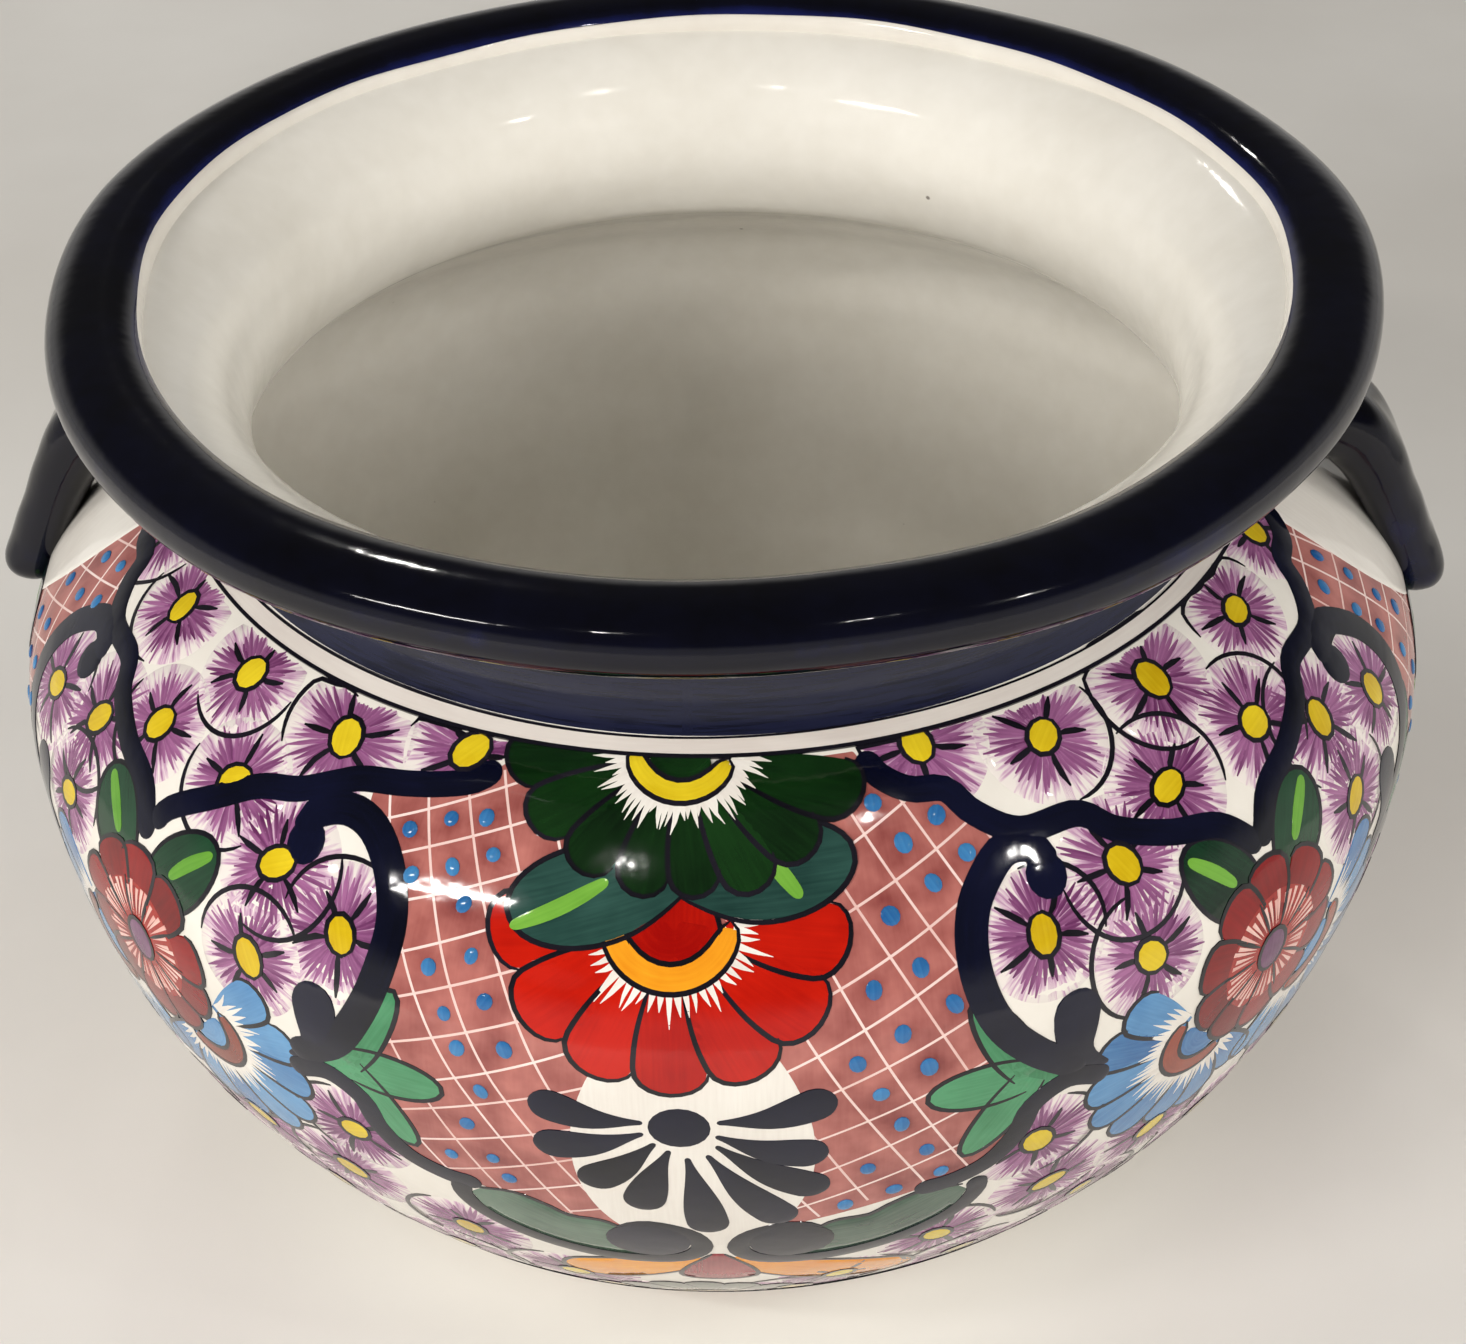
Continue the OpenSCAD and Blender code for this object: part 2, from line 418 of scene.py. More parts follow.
# %% Profile of the lining
WALL_SOFT, FLOOR_SOFT = 7, 26  # how many points either side are averaged
deep = wall + 2 * coat
floor_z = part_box("base_slab")[1].z / MM + coat
neck_arc = arc((neck_c, neck_z), neck_r + deep, math.radians(97), math.radians(250), -1)
reach = np.hypot(neck_arc[:, 0] - top_c, neck_arc[:, 1] - top_z) - (top_r - deep)
neck_end = np.argmax((reach < 0) & (neck_arc[:, 1] < neck_z))
meet = neck_arc[neck_end]
lining = np.vstack([
    neck_arc[:neck_end],
    arc((top_c, top_z), top_r - deep, math.atan2(meet[1] - top_z, meet[0] - top_c), turn_a),
    arc((turn_c, belly_z), turn_r - deep, turn_a, 0),
    arc((belly_r - low_r, belly_z), low_r - deep, 0, -math.asin((belly_z - floor_z) / (low_r - deep))),
])[:, :2]
floor_r = np.linspace(lining[-1, 0], 0.02, int(lining[-1, 0] / 0.5))[1:]
lining = np.vstack([lining, np.column_stack([floor_r, np.full(len(floor_r), floor_z)])])


def softened(line, reach):
    """The line averaged over reach points either side."""
    padded = np.pad(line, ((reach, reach), (0, 0)), mode="edge")
    share = np.ones(2 * reach + 1) / (2 * reach + 1)
    return np.column_stack([np.convolve(padded[:, k], share, "valid") for k in (0, 1)])


near_floor = np.clip((70 - lining[:, 1:]) / 30, 0, 1)
soft = softened(lining, WALL_SOFT) * (1 - near_floor) + softened(lining, FLOOR_SOFT) * near_floor
soft[:3] = lining[:3]
soft[-30:] = lining[-30:]
slope = np.gradient(soft, axis=0)
facing = np.column_stack([slope[:, 1], -slope[:, 0]]) / np.linalg.norm(slope, axis=1)[:, None]
print("lining profile:", len(soft), "points, floor at", round(floor_z, 1))

# %% Lining
LINING_BACK = -0.7


def lining_rows(index, lift):
    """Rings of the lining: lift is towards the hollow, with low throwing rings."""
    t = np.radians(AROUND)
    rings = []
    for k in index:
        r, z = soft[k]
        fade = min(1.0, r / 60)
        ring = 0.16 * math.sin(k / 7.5) + 0.12 * math.sin(k / 17.0 + 1)
        push = lift + fade * (ring + 0.25 * np.sin(2 * t + 0.7) + 0.15 * np.sin(3 * t - k / 90) + 0.3)
        push = np.where(lift < 0, lift, push)
        reach_in = np.maximum(r + facing[k, 0] * push, 0.01)
        rings.append(np.column_stack([reach_in * np.cos(t), reach_in * np.sin(t), z + facing[k, 1] * push]))
    return np.vstack(rings) * MM


lining_front = np.linspace(0, len(soft) - 1, 170).astype(int)
lining_back = np.linspace(len(soft) - 1, 0, 40).astype(int)
lining_points = np.vstack([lining_rows(lining_front, 0.0), lining_rows(lining_back, LINING_BACK)])
lining_faces = wrapped_faces(len(lining_front) + len(lining_back), AROUND_STEPS)
inner_lining = make_piece("inner_lining", lining_points, lining_faces, cream_lining)
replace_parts(inner_lining, "inner_glaze")
print("lining:", len(inner_lining.data.polygons), "faces")

# %% [markdown]
# ## The rolled rim
# The rim is a fat roll of clay, pressed a little flat and not quite round. White glaze covers it
# first; then a thick cobalt coat goes over the outside and the top and stops on the inner edge with
# a hand-cut line. Two pieces say this better than one: a white roll, and a dark shell on it.

# %% Cobalt glaze


def cobalt_glaze():
    """Blue-black glaze that breaks to blue where it runs thin over an edge, and where a blue sheen is
    painted.
    """
    made, tree, shader = blank("cobalt_glaze")
    # The stored share is where the glaze runs thin, and on the rim's outer ridge a painted sheen.
    edge = add(tree, "ShaderNodeAttribute", attribute_name="thin").outputs["Fac"]
    mix = total(tree, (noise(tree, 18.0, 4.0), 0.55), (noise(tree, 160.0, 2.0), 0.2), (edge, 0.45))
    tree.links.new(shader.inputs["Base Color"], ramp(
        tree, mix, (0.3, tone(4, 4, 10)), (0.55, tone(8, 9, 25)), (0.85, tone(22, 28, 78))))
    shader.inputs["Specular IOR Level"].default_value = 0.36
    gloss(tree, shader, 0.05, 0.11)
    orange_peel(tree, shader, 0.10)
    return made


cobalt = cobalt_glaze()
print("made", cobalt.name)

# %% The roll


def mark_thin_and_sheen(piece, values):
    """Stores where the cobalt runs thin, and on the rim where a sheen is painted, 0 to 1."""
    piece.data.attributes.new("thin", "FLOAT", "POINT").data.foreach_set("value", values)


def rim_rings(turns, grow_by):
    """Rings round the roll: turns is an array of section angles in degrees, one row per ring."""
    t = np.radians(AROUND)
    rings = []
    for turn, grow_one in zip(turns, np.broadcast_to(grow_by, len(turns))):
        a = np.radians(np.broadcast_to(turn, t.shape))
        c, k = np.cos(a), np.sin(a)
        flat_r = rim_w / 2 * np.sign(c) * np.abs(c) ** 0.86 + grow_one * c
        flat_z = roll_r * np.sign(k) * np.abs(k) ** 0.86 + grow_one * k
        r = rim_r + flat_r + 0.7 * np.sin(3 * t + 1) + 0.45 * np.sin(5 * t + 0.3) + 0.25 * np.sin(11 * t)
        z = rim_z + flat_z + 0.5 * np.sin(2 * t + 0.5) + 0.4 * np.sin(4 * t + 2) + 0.2 * np.sin(9 * t + 1)
        rings.append(np.column_stack([r * np.cos(t), r * np.sin(t), z]))
    return np.vstack(rings) * MM


ROLL_STEPS = 40
roll_points = rim_rings(np.arange(ROLL_STEPS) * 360 / ROLL_STEPS, -0.35)
roll_faces = wrapped_faces(ROLL_STEPS, AROUND_STEPS)
rim_body = make_piece("rim_body", roll_points, roll_faces, white_ground)
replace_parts(rim_body, "rim_roll")
print("rim:", len(rim_body.data.polygons), "faces of white")

# %% The cobalt shell
COBALT_FROM, COBALT_TO = -104.0, 150.0  # degrees round the roll, from its outside
SHELL_STEPS = 44
around = np.radians(AROUND)
brush_edge = 2.2 * np.sin(4 * around) + 1.6 * np.sin(9 * around + 1) + 1.2 * np.sin(17 * around + 2)
share = np.linspace(0, 1, SHELL_STEPS)[:, None] ** 0.9
outer_turns = COBALT_FROM + share * (COBALT_TO + brush_edge - COBALT_FROM)
shell_turns = np.vstack([outer_turns, outer_turns[::-1]])
thickness = np.repeat([0.25, -0.7], SHELL_STEPS)
shell_points = rim_rings(shell_turns, thickness)
shell_faces = wrapped_faces(2 * SHELL_STEPS, AROUND_STEPS)
rim_cobalt = make_piece("rim_cobalt", shell_points, shell_faces, cobalt)
# Lighter blue at the inner cut is glaze running thin; the bump round the roll's outer ridge is a painted
# sheen.
thin_edge_and_sheen = np.clip((shell_turns - 125) / 25, 0, 1) + 0.35 * np.exp(-((shell_turns - 8) / 22) ** 2)
mark_thin_and_sheen(rim_cobalt, thin_edge_and_sheen.ravel())
print("rim:", len(rim_cobalt.data.polygons), "faces of cobalt")

# %% [markdown]
# ## The strap handles
# Each handle is a pulled strap: it leaves the neck level, turns down and ends in a blunt thumbed
# tip on the belly. A bent cylinder would miss the strap's flat section and the shallow groove that
# fingers leave down its back, so a rounded section is swept along the bend and closed at the tip.

# %% A smooth line through points


def curve_through(points, count):
    """A smooth line through points, at even steps."""
    p = np.array(points, float)
    ends = np.vstack([2 * p[0] - p[1], p, 2 * p[-1] - p[-2]])
    u = np.linspace(0, 1, 16, endpoint=False)[:, None]
    parts = []
    for k in range(len(p) - 1):
        a, b, c, d = ends[k:k + 4]
        parts.append(0.5 * (2 * b + (c - a) * u + (2 * a - 5 * b + 4 * c - d) * u ** 2
                            + (3 * b - a - 3 * c + d) * u ** 3))
    fine = np.vstack(parts + [p[-1:]])
    run = np.concatenate([[0], np.cumsum(np.linalg.norm(np.diff(fine, axis=0), axis=1))])
    even = np.linspace(0, run[-1], count)
    return np.column_stack([np.interp(even, run, fine[:, k]) for k in range(p.shape[1])])


# The middle of the strap, from inside the neck to its tip: mm from the axis, then mm high
STRAP_LINE = [(139, 240), (156, 240), (173, 239.5), (185, 235), (192.5, 225), (199, 210), (205, 195),
              (210.5, 181), (213, 171.5)]
print("the strap's tip is at", curve_through(STRAP_LINE, 84)[-1])

# %% Handles
STRAP_W, STRAP_T = 32.0, 15.0
STRAP_STEPS, STRAP_SIDES = 84, 36


def squared(values):
    """A round section pressed a little square."""
    return np.sign(values) * np.abs(values) ** 0.8


def strap_handle(name, node, facing_x, lift_end):
    """One handle: facing_x is +1 on the right and -1 on the left, and lift_end raises its tip."""
    line = curve_through(STRAP_LINE, STRAP_STEPS)
    share = np.linspace(0, 1, STRAP_STEPS)
    line[:, 1] += lift_end * share ** 2
    ahead = np.gradient(line, axis=0)
    ahead /= np.linalg.norm(ahead, axis=1)[:, None]
    a = np.radians(np.arange(STRAP_SIDES) * 360 / STRAP_SIDES)
    wide = squared(np.cos(a))
    thick = squared(np.sin(a))
    rings = []
    thin = []
    for k in range(STRAP_STEPS):
        tip = math.sqrt(max(0.0, 1 - max(0.0, (share[k] - 0.9) / 0.1) ** 2.2))
        half_w = STRAP_W / 2 * (1 + 0.06 * math.sin(share[k] * 7)) * (0.12 + 0.88 * tip)
        body = 1.26 - 0.12 * math.sin(share[k] * math.pi) + 0.02 * share[k] ** 4
        half_t = STRAP_T / 2 * body * (0.1 + 0.9 * tip)
        groove = 1.3 * tip * np.exp(-(wide * 2.1) ** 2) * (thick > 0)
        ridge = 0.5 * np.sin(share[k] * 40 + wide * 3)
        web = 1 + 0.85 * math.exp(-((share[k] - 0.34) / 0.24) ** 2)
        off = half_t * np.where(thick > 0, thick, web * thick) - groove + 0.25 * ridge * (thick > 0)
        x = line[k, 0] - ahead[k, 1] * off
        z = line[k, 1] + ahead[k, 0] * off
        rings.append(np.column_stack([x * facing_x, half_w * wide * facing_x, z]))
        thin.append(np.clip(np.abs(wide) - 0.75, 0, 1) * 1.6 * (thick > -0.5))
    faces = tube_faces(STRAP_STEPS, STRAP_SIDES)
    piece = make_piece(name, np.vstack(rings) * MM, faces, cobalt)
    mark_thin_and_sheen(piece, np.concatenate(thin))
    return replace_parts(piece, node)


straps = [
    strap_handle("right_strap", "right_handle", 1, 5.0),
    strap_handle("left_strap", "left_handle", -1, 8.0),
]
print("handles:", [len(strap.data.polygons) for strap in straps], "faces")

# %% [markdown]
# ## Brush strokes as low relief
# Glaze paint stands a little proud of the ground, and its edges catch the light. A picture wrapped
# round the pot could not do that, so each stroke is a thin closed sliver of glaze: a line on the
# flat map, a width that swells and tapers along it, and a domed section whose edges dip under the
# white coat. Strokes of one finish are gathered and become one piece at the end.

# %% Gathering strokes
dice = np.random.default_rng(11)
SUNK = -0.3
COAT_MM = 0.42
ROUND = np.array([(-1, 0), (-0.94, 0.6), (-0.55, 0.93), (0, 1), (0.55, 0.93), (0.94, 0.6), (1, 0)])
HAIR = np.array([(-1, 0), (-0.86, 1), (0.86, 1), (1, 0)])
paint = {}


def lay(finish, theta, s, lift, faces, brush, own=None):
    """Adds one stroke to a finish, with a tone of its own. Lifts are counted in coats of paint."""
    lift = np.where(lift > 0, COAT_MM * lift, lift)
    store = paint.setdefault(finish, {"place": [], "faces": [], "brush": [], "own": [], "count": 0})
    store["place"].append(np.column_stack([theta.ravel(), s.ravel(), lift.ravel()]))
    store["brush"].append(brush)
    store["own"].append(np.full(theta.size, dice.random()) if own is None else own)
    store["faces"].extend((np.array(face) + store["count"]).tolist() for face in faces)
    store["count"] += theta.size


def spot(theta0, s0, turn=0.0, flip=1):
    """A little drawing board on the side: x mm across and y mm away, where turn 0 points down the
    pot and 90 to the right."""
    c, k = math.cos(math.radians(turn)), math.sin(math.radians(turn))

    def place(x, y):
        s = s0 - x * k + y * c
        return theta0 + flip * np.degrees((x * c + y * k) / radius_at(s)), s

    return place


print("drawing board ready")

# %% One brush stroke


def full(u):
    """The same width all along."""
    return np.ones_like(u)


def drop(u):
    """Narrow where the brush lands and fat where it stops."""
    return 0.14 + 0.86 * np.sin(np.clip(u / 0.8, 0, 1) * np.pi / 2) ** 1.5


def tail(u):
    """Full where the brush lands, lifted off to a point."""
    return 0.06 + 0.94 * (1 - u) ** 0.8


def swell(u):
    """Narrow at both ends."""
    return 0.3 + 0.7 * np.sin(np.pi * u) ** 0.4


def even_steps(points, step, round_end):
    """A smooth line through (degrees, mm) places, with its run in mm."""
    fine = curve_through(points, 12 * len(points))
    degree = np.radians(1) * radius_at(fine[:, 1])
    hop = np.hypot(np.diff(fine[:, 0]) * degree[1:], np.diff(fine[:, 1]))
    run = np.concatenate([[0], np.cumsum(hop)])
    at = np.linspace(0, run[-1], max(4, int(run[-1] / step) + 1))
    if round_end:
        near = round_end * np.array([0.03, 0.12, 0.3, 0.6, 1.0])
        at = np.unique(np.clip(np.concatenate([at, near, run[-1] - near]), 0, run[-1]).round(3))
    return np.column_stack([np.interp(at, run, fine[:, 0]), np.interp(at, run, fine[:, 1])]), at


def stroke(finish, points, width, height, shape=full, base=0.0, section=ROUND, step=2.4):
    """One pull of the brush along places on the side."""
    rounded = section is ROUND
    line, run = even_steps(points, step, width / 2 if rounded else 0)
    degree = np.radians(1) * radius_at(line[:, 1])
    ahead = np.gradient(line, run, axis=0) * np.column_stack([degree, np.ones(len(run))])
    ahead /= np.linalg.norm(ahead, axis=1)[:, None]
    half = width / 2 * shape(run / run[-1])
    if rounded:
        close = np.clip(np.minimum(run, run[-1] - run) / np.maximum(half, 0.1), 0.01, 1)
        half = half * np.sqrt(1 - (1 - close) ** 2)
    across, up = section.T
    theta = line[:, :1] - (ahead[:, 1] * half / degree)[:, None] * across
    s = line[:, 1:] + (ahead[:, 0] * half)[:, None] * across
    thick = np.sqrt(np.clip(half / (width / 2), 0.05, 1))[:, None]
    lift = np.where(up > 0, base + height * up * thick, SUNK)
    brush = np.column_stack([np.repeat(run, len(section)), (half[:, None] * across).ravel()])
    lay(finish, theta, s, lift, tube_faces(*theta.shape), brush)


def outline(places, base, width=1.6):
    """A thin black contour along places."""
    stroke("fine_black", places, width, 0.16, shape=swell, base=base, section=HAIR, step=2.6)


def ray(board, *stops):
    """Places on a drawing board, given as mm from its middle and the direction."""
    return [board(reach * math.sin(a), reach * math.cos(a)) for reach, a in stops]


print("brush ready, a drop ends at", drop(np.ones(1))[0], "of its width")

# %% Filled sheets


def quads_of(index, facing=1):
    """Quads between the rows and columns of a grid of point numbers, facing up or down."""
    a, b, c, d = index[:-1, :-1], index[:-1, 1:], index[1:, 1:], index[1:, :-1]
    return np.stack([a, b, c, d] if facing > 0 else [a, d, c, b], -1).reshape(-1, 4).tolist()


def pillow(finish, theta, s, up, base, height, brush, double=False, own=None):
    """A filled shape over a grid of places: its border is sunk, and its underside is one face, or a
    second sheet on a wide shape."""
    rows, columns = theta.shape
    lift = np.where(up > 0, base + height * up, SUNK)
    index = np.arange(rows * columns).reshape(rows, columns)
    if not double:
        border = np.concatenate([index[0], index[1:, -1], index[-1, -2::-1], index[-2:0:-1, 0]])
        lay(finish, theta, s, lift, quads_of(index) + [border.tolist()], brush)
        return
    under = index.copy()
    under[1:-1, 1:-1] = rows * columns + np.arange((rows - 2) * (columns - 2)).reshape(rows - 2, -1)
    inner = (slice(1, -1), slice(1, -1))

    def both(grid):
        """The grid's values, then those of its inner points again, for the underside."""
        return np.concatenate([grid.ravel(), grid[inner].ravel()])

    lifts = np.concatenate([lift.ravel(), np.full(theta[inner].size, SUNK)])
    brushes = np.vstack([brush, brush.reshape(rows, columns, 2)[inner].reshape(-1, 2)])
    lay(finish, both(theta), both(s), lifts, quads_of(index) + quads_of(under, -1), brushes,
        None if own is None else both(own))


def flat_sheet(grid):
    """1 all over a grid and 0 on its border, which is sunk."""
    up = np.ones_like(grid)
    up[[0, -1]] = 0
    up[:, [0, -1]] = 0
    return up


def domed_rows(count):
    """The round section along a shape, sunk at both of its ends."""
    up = np.tile(ROUND[:, 1], (count, 1))
    up[[0, -1]] = 0
    return up


print("a sheet of 4 by 4 points has", int(flat_sheet(np.zeros((4, 4))).sum()), "raised ones")

# %% Petals
PETAL_STEPS = np.array([0, 0.03, 0.1, 0.2, 0.3, 0.4, 0.5, 0.6, 0.7, 0.78, 0.85, 0.91, 0.955, 0.985, 1.0])
PETAL_HEIGHT = 0.12  # in coats of paint


def petal(finish, place, length, width, base, start=0.0, waist=0.4, belly=0.78, shared=False):
    """A petal or leaf that leaves start mm from its centre and ends in a round tip. A shared petal has a
    contour on one side and its tip only, because its neighbour draws the other side."""
    u = PETAL_STEPS
    half = width / 2 * (waist + (1 - waist) * np.sin(np.clip(u / belly, 0, 1) * np.pi / 2))
    half = np.maximum(half * np.sqrt(1 - np.clip((u - belly) / (1 - belly), 0, 1) ** 2), 0.02 * width)
    across = ROUND[:, 0]
    x = half[:, None] * across
    y = start + length * u[:, None] + 0 * across
    theta, s = place(x, y)
    brush = np.column_stack([y.ravel(), x.ravel()])
    pillow(finish, theta, s, domed_rows(len(u)), base, PETAL_HEIGHT, brush)
    back = slice(-2, 8 if shared else 0, -1)
    one_side = np.column_stack([theta[1:, 0], s[1:, 0]])
    other_side = np.column_stack([theta[back, -1], s[back, -1]])
    outline(np.concatenate([one_side, other_side]), base + 0.02)


print("a petal has", len(PETAL_STEPS), "steps along")

# %% Bands
BAND_STEPS = 21
BAND_HEIGHT = 0.14


def crescent(finish, place, inner, outer, spread, base, edge=True):
    """A band about a centre, from -spread to spread degrees either side of its facing."""
    share = np.linspace(-1, 1, BAND_STEPS)
    a = np.radians(spread * share)
    half = (outer - inner) / 2 * np.sqrt(np.clip(1 - np.abs(share) ** 5, 0.0004, 1))
    reach = (inner + outer) / 2 + half[:, None] * ROUND[:, 0]
    theta, s = place(reach * np.sin(a)[:, None], reach * np.cos(a)[:, None])
    brush = np.column_stack([np.repeat(a, len(ROUND)) * outer, reach.ravel()])
    pillow(finish, theta, s, domed_rows(BAND_STEPS), base, BAND_HEIGHT, brush)
    if edge:
        outline(np.column_stack([theta[:, -1], s[:, -1]]), base + 0.05)
        if inner > 1:
            outline(np.column_stack([theta[:, 0], s[:, 0]]), base + 0.05)


print("a band has", BAND_STEPS, "steps along")

# %% Spots and halos
DOME_SHARE = np.array([1.0, 0.97, 0.8, 0.5, 0.2])[:, None]
DOME_UP = np.array([0, 0.35, 0.72, 0.93, 1.0])[:, None]
PATCH_SHARE = np.concatenate([[1.0, 0.99], np.linspace(0.95, 0.03, 18)])[:, None]
PATCH_SIDES = 96
SPIKE_WIDTH = 2.8


def oval(finish, place, half_x, half_y, base, height, edge=False, sides=14):
    """A domed spot of glaze."""
    a = np.radians(np.arange(sides) * 360 / sides)[None, :]
    up = DOME_UP + 0 * a
    x, y = half_x * DOME_SHARE * np.sin(a), half_y * DOME_SHARE * np.cos(a)
    theta, s = place(x, y)
    lift = np.where(up > 0, base + height * up, SUNK)
    lay(finish, theta, s, lift, tube_faces(*theta.shape), np.column_stack([y.ravel(), x.ravel()]))
    if edge:
        ring = np.column_stack([theta[0], s[0]])
        outline(np.vstack([ring, ring[:2]]), base + 0.2)


def wide_oval(finish, place, half_x, half_y, base, height):
    """A broad flat patch, in rings close enough to follow the belly."""
    a = np.radians(np.arange(PATCH_SIDES) * 360 / PATCH_SIDES)[None, :]
    x, y = half_x * PATCH_SHARE * np.sin(a), half_y * PATCH_SHARE * np.cos(a)
    theta, s = place(x, y)
    lift = np.full(theta.shape, base + height)
    lift[0] = SUNK
    lay(finish, theta, s, lift, tube_faces(*theta.shape), np.column_stack([y.ravel(), x.ravel()]))


def spikes(finish, place, count, inner, outer, spread, base):
    """A ragged halo of short tapering strokes."""
    for a in np.radians(np.linspace(-spread, spread, count)):
        reach = outer * dice.uniform(0.86, 1.12)
        tilt_end = a + math.radians(dice.uniform(-3, 3))
        ends = ray(place, (inner, a), ((inner + reach) / 2, a), (reach, tilt_end))
        width = SPIKE_WIDTH * dice.uniform(0.8, 1.2)
        stroke(finish, ends, width, 0.1, shape=tail, base=base, section=HAIR, step=4.0)


print("a spot has", len(DOME_SHARE), "rings and a patch has", len(PATCH_SHARE))

# %% [markdown]
# ## Half daisies
# The big flowers are half daisies: a cap, a bright band round it, a ragged white halo, and fat
# petals with a black contour. They differ only in colour, size and facing, so one function paints
# them all and the panels below call it.

# %% Half daisy
# The finishes of the petals, the band and the cap
DAISIES = {
    "green": ("deep_green", "yellow_eye", "deep_green"),
    "red": ("poppy_red", "orange_band", "poppy_red"),
    "sky": ("sky_blue", "brown_band", "sky_blue"),
}


def half_daisy(theta, s, turn, size, petals, spread, colouring, flip=1, base=0.4, stretch=1.0, halo=0.55):
    """Half a flower that opens to its turn: size is the outer radius in mm, and spread the degrees to
    either side."""
    petal_finish, band_finish, cap_finish = DAISIES[colouring]
    pitch = 2 * spread / petals
    for k in range(petals):
        lean = -spread + pitch * (k + 0.5) + dice.uniform(-1.5, 1.5)
        wide = 1 + (stretch - 1) * abs(math.sin(math.radians(lean)))
        reach = size * wide * dice.uniform(0.95, 1.03)
        broad = 1.76 * reach * math.sin(math.radians(pitch / 2))
        petal(petal_finish, spot(theta, s, turn + lean, flip), reach * 0.72, broad, base + 0.02 * (k % 2),
              start=reach * 0.28, shared=True)
    middle = spot(theta, s, turn, flip)
    spikes("white_ground_paint", middle, int(petals * 4.5), size * 0.34, size * halo, spread * 0.98,
           base + 0.16)
    crescent(band_finish, middle, size * 0.24, size * 0.40, spread * 0.93, base + 0.27)
    crescent(cap_finish, middle, 0.6, size * 0.25, spread * 0.93, base + 0.22, edge=False)


print("half daisies in", len(DAISIES), "colourings")

# %% [markdown]
# ## Small lavender blossoms
# The white fields are filled with loose blossoms: a yellow eye, fine purple hairs that fan out and
# fade, a few black stamens and a thin black arc round some petals. The faded purple under the hairs
# is a disc whose glaze thins towards its rim. Each blossom stops at the neck line and at the blue
# scrolls, so it asks how much room it has in every direction.

# %% Room for a blossom
COLUMN_AXES = (-135.5, -45.5, 45.5, 134.5)
# Where the lattice begins, in two hands: mm down the side, then degrees from a flower column's axis
LOW_EDGE = [
    (108, 18.7), (113, 21.4), (123, 22.3), (133, 24.2), (138.5, 28.5), (144, 34), (150, 40), (156, 45.5)]
CLOSE_EDGE = np.array([
    (5, 30.5), (12.5, 28.2), (17.5, 26.8), (20.5, 24.3), (23.5, 20.5), (27, 17.5), (34, 17.8), (37, 19.6),
    (45, 22), (57, 23.4), (70, 23.2), (83, 22), (96, 19.7), (104, 17.2), *LOW_EDGE])
LOOSE_EDGE = np.array([
    (5, 31), (14, 29.4), (19.5, 27), (21.5, 24), (29, 22.3), (35, 20.5), (39.5, 20.6), (43, 22.4),
    (52, 24.6), (65, 25.4), (80, 24.4), (93, 21.6), (104, 18), *LOW_EDGE])
LATTICE_END = 156
BLOSSOM_TOP, BLOSSOM_END = 6.2, 221


def is_loose(axis, flip):
    """One side of the left-hand columns is painted closer than the rest."""
    return not (flip > 0 and (axis < 0 or axis > 180))


def column_edge(axis, flip, s):
    """Degrees from a column's axis to the lattice on one side of it."""
    edge = LOOSE_EDGE if is_loose(axis, flip) else CLOSE_EDGE
    return np.interp(s, edge[:, 0], edge[:, 1])


def in_lattice(theta, s):
    """True where a place belongs to a lattice panel."""
    inside = s < LATTICE_END
    for axis in COLUMN_AXES:
        apart = (theta - axis + 180) % 360 - 180
        edge = np.where(apart > 0, column_edge(axis, 1, s), column_edge(axis, -1, s))
        inside = inside & (np.abs(apart) > edge)
    return inside


def room(theta, s, size, angles):
    """How far a blossom may reach in each direction."""
    reach = np.linspace(0, 1, 9)[None, :] * size
    a = angles[:, None]
    at_theta, at_s = spot(theta, s)(reach * np.sin(a), reach * np.cos(a))
    free = (at_s > BLOSSOM_TOP) & (at_s < BLOSSOM_END) & ~in_lattice(at_theta, at_s)
    steps = np.cumprod(free, axis=1).sum(axis=1)
    return np.maximum(reach[0, np.clip(steps - 1, 0, 8)], 0.5)


print("room below the neck at 20 mm:", room(-45.5, 20.0, 16.0, np.radians([0, 180])).round(1))

# %% One blossom
DISC = np.radians(np.arange(48) * 7.5)
DISC_SHARE = np.array([1.0, 0.97, 0.7, 0.4, 0.15])[:, None]
DISC_UP = np.array([0, 0.8, 1, 1, 1])[:, None]
STAMENS = 5
ARC_STEPS = 13


def faded_disc(middle, limit, size):
    """The thin purple under the hairs."""
    reach = limit[None, :] * DISC_SHARE
    theta, s = middle(reach * np.sin(DISC), reach * np.cos(DISC))
    up = DISC_UP + 0 * reach
    fan = np.column_stack([np.tile(DISC * 6, len(DISC_SHARE)), (reach / size).ravel()])
    lay("lavender_wash", theta, s, np.where(up > 0, 0.05 + 0.03 * up, SUNK), tube_faces(*theta.shape), fan)


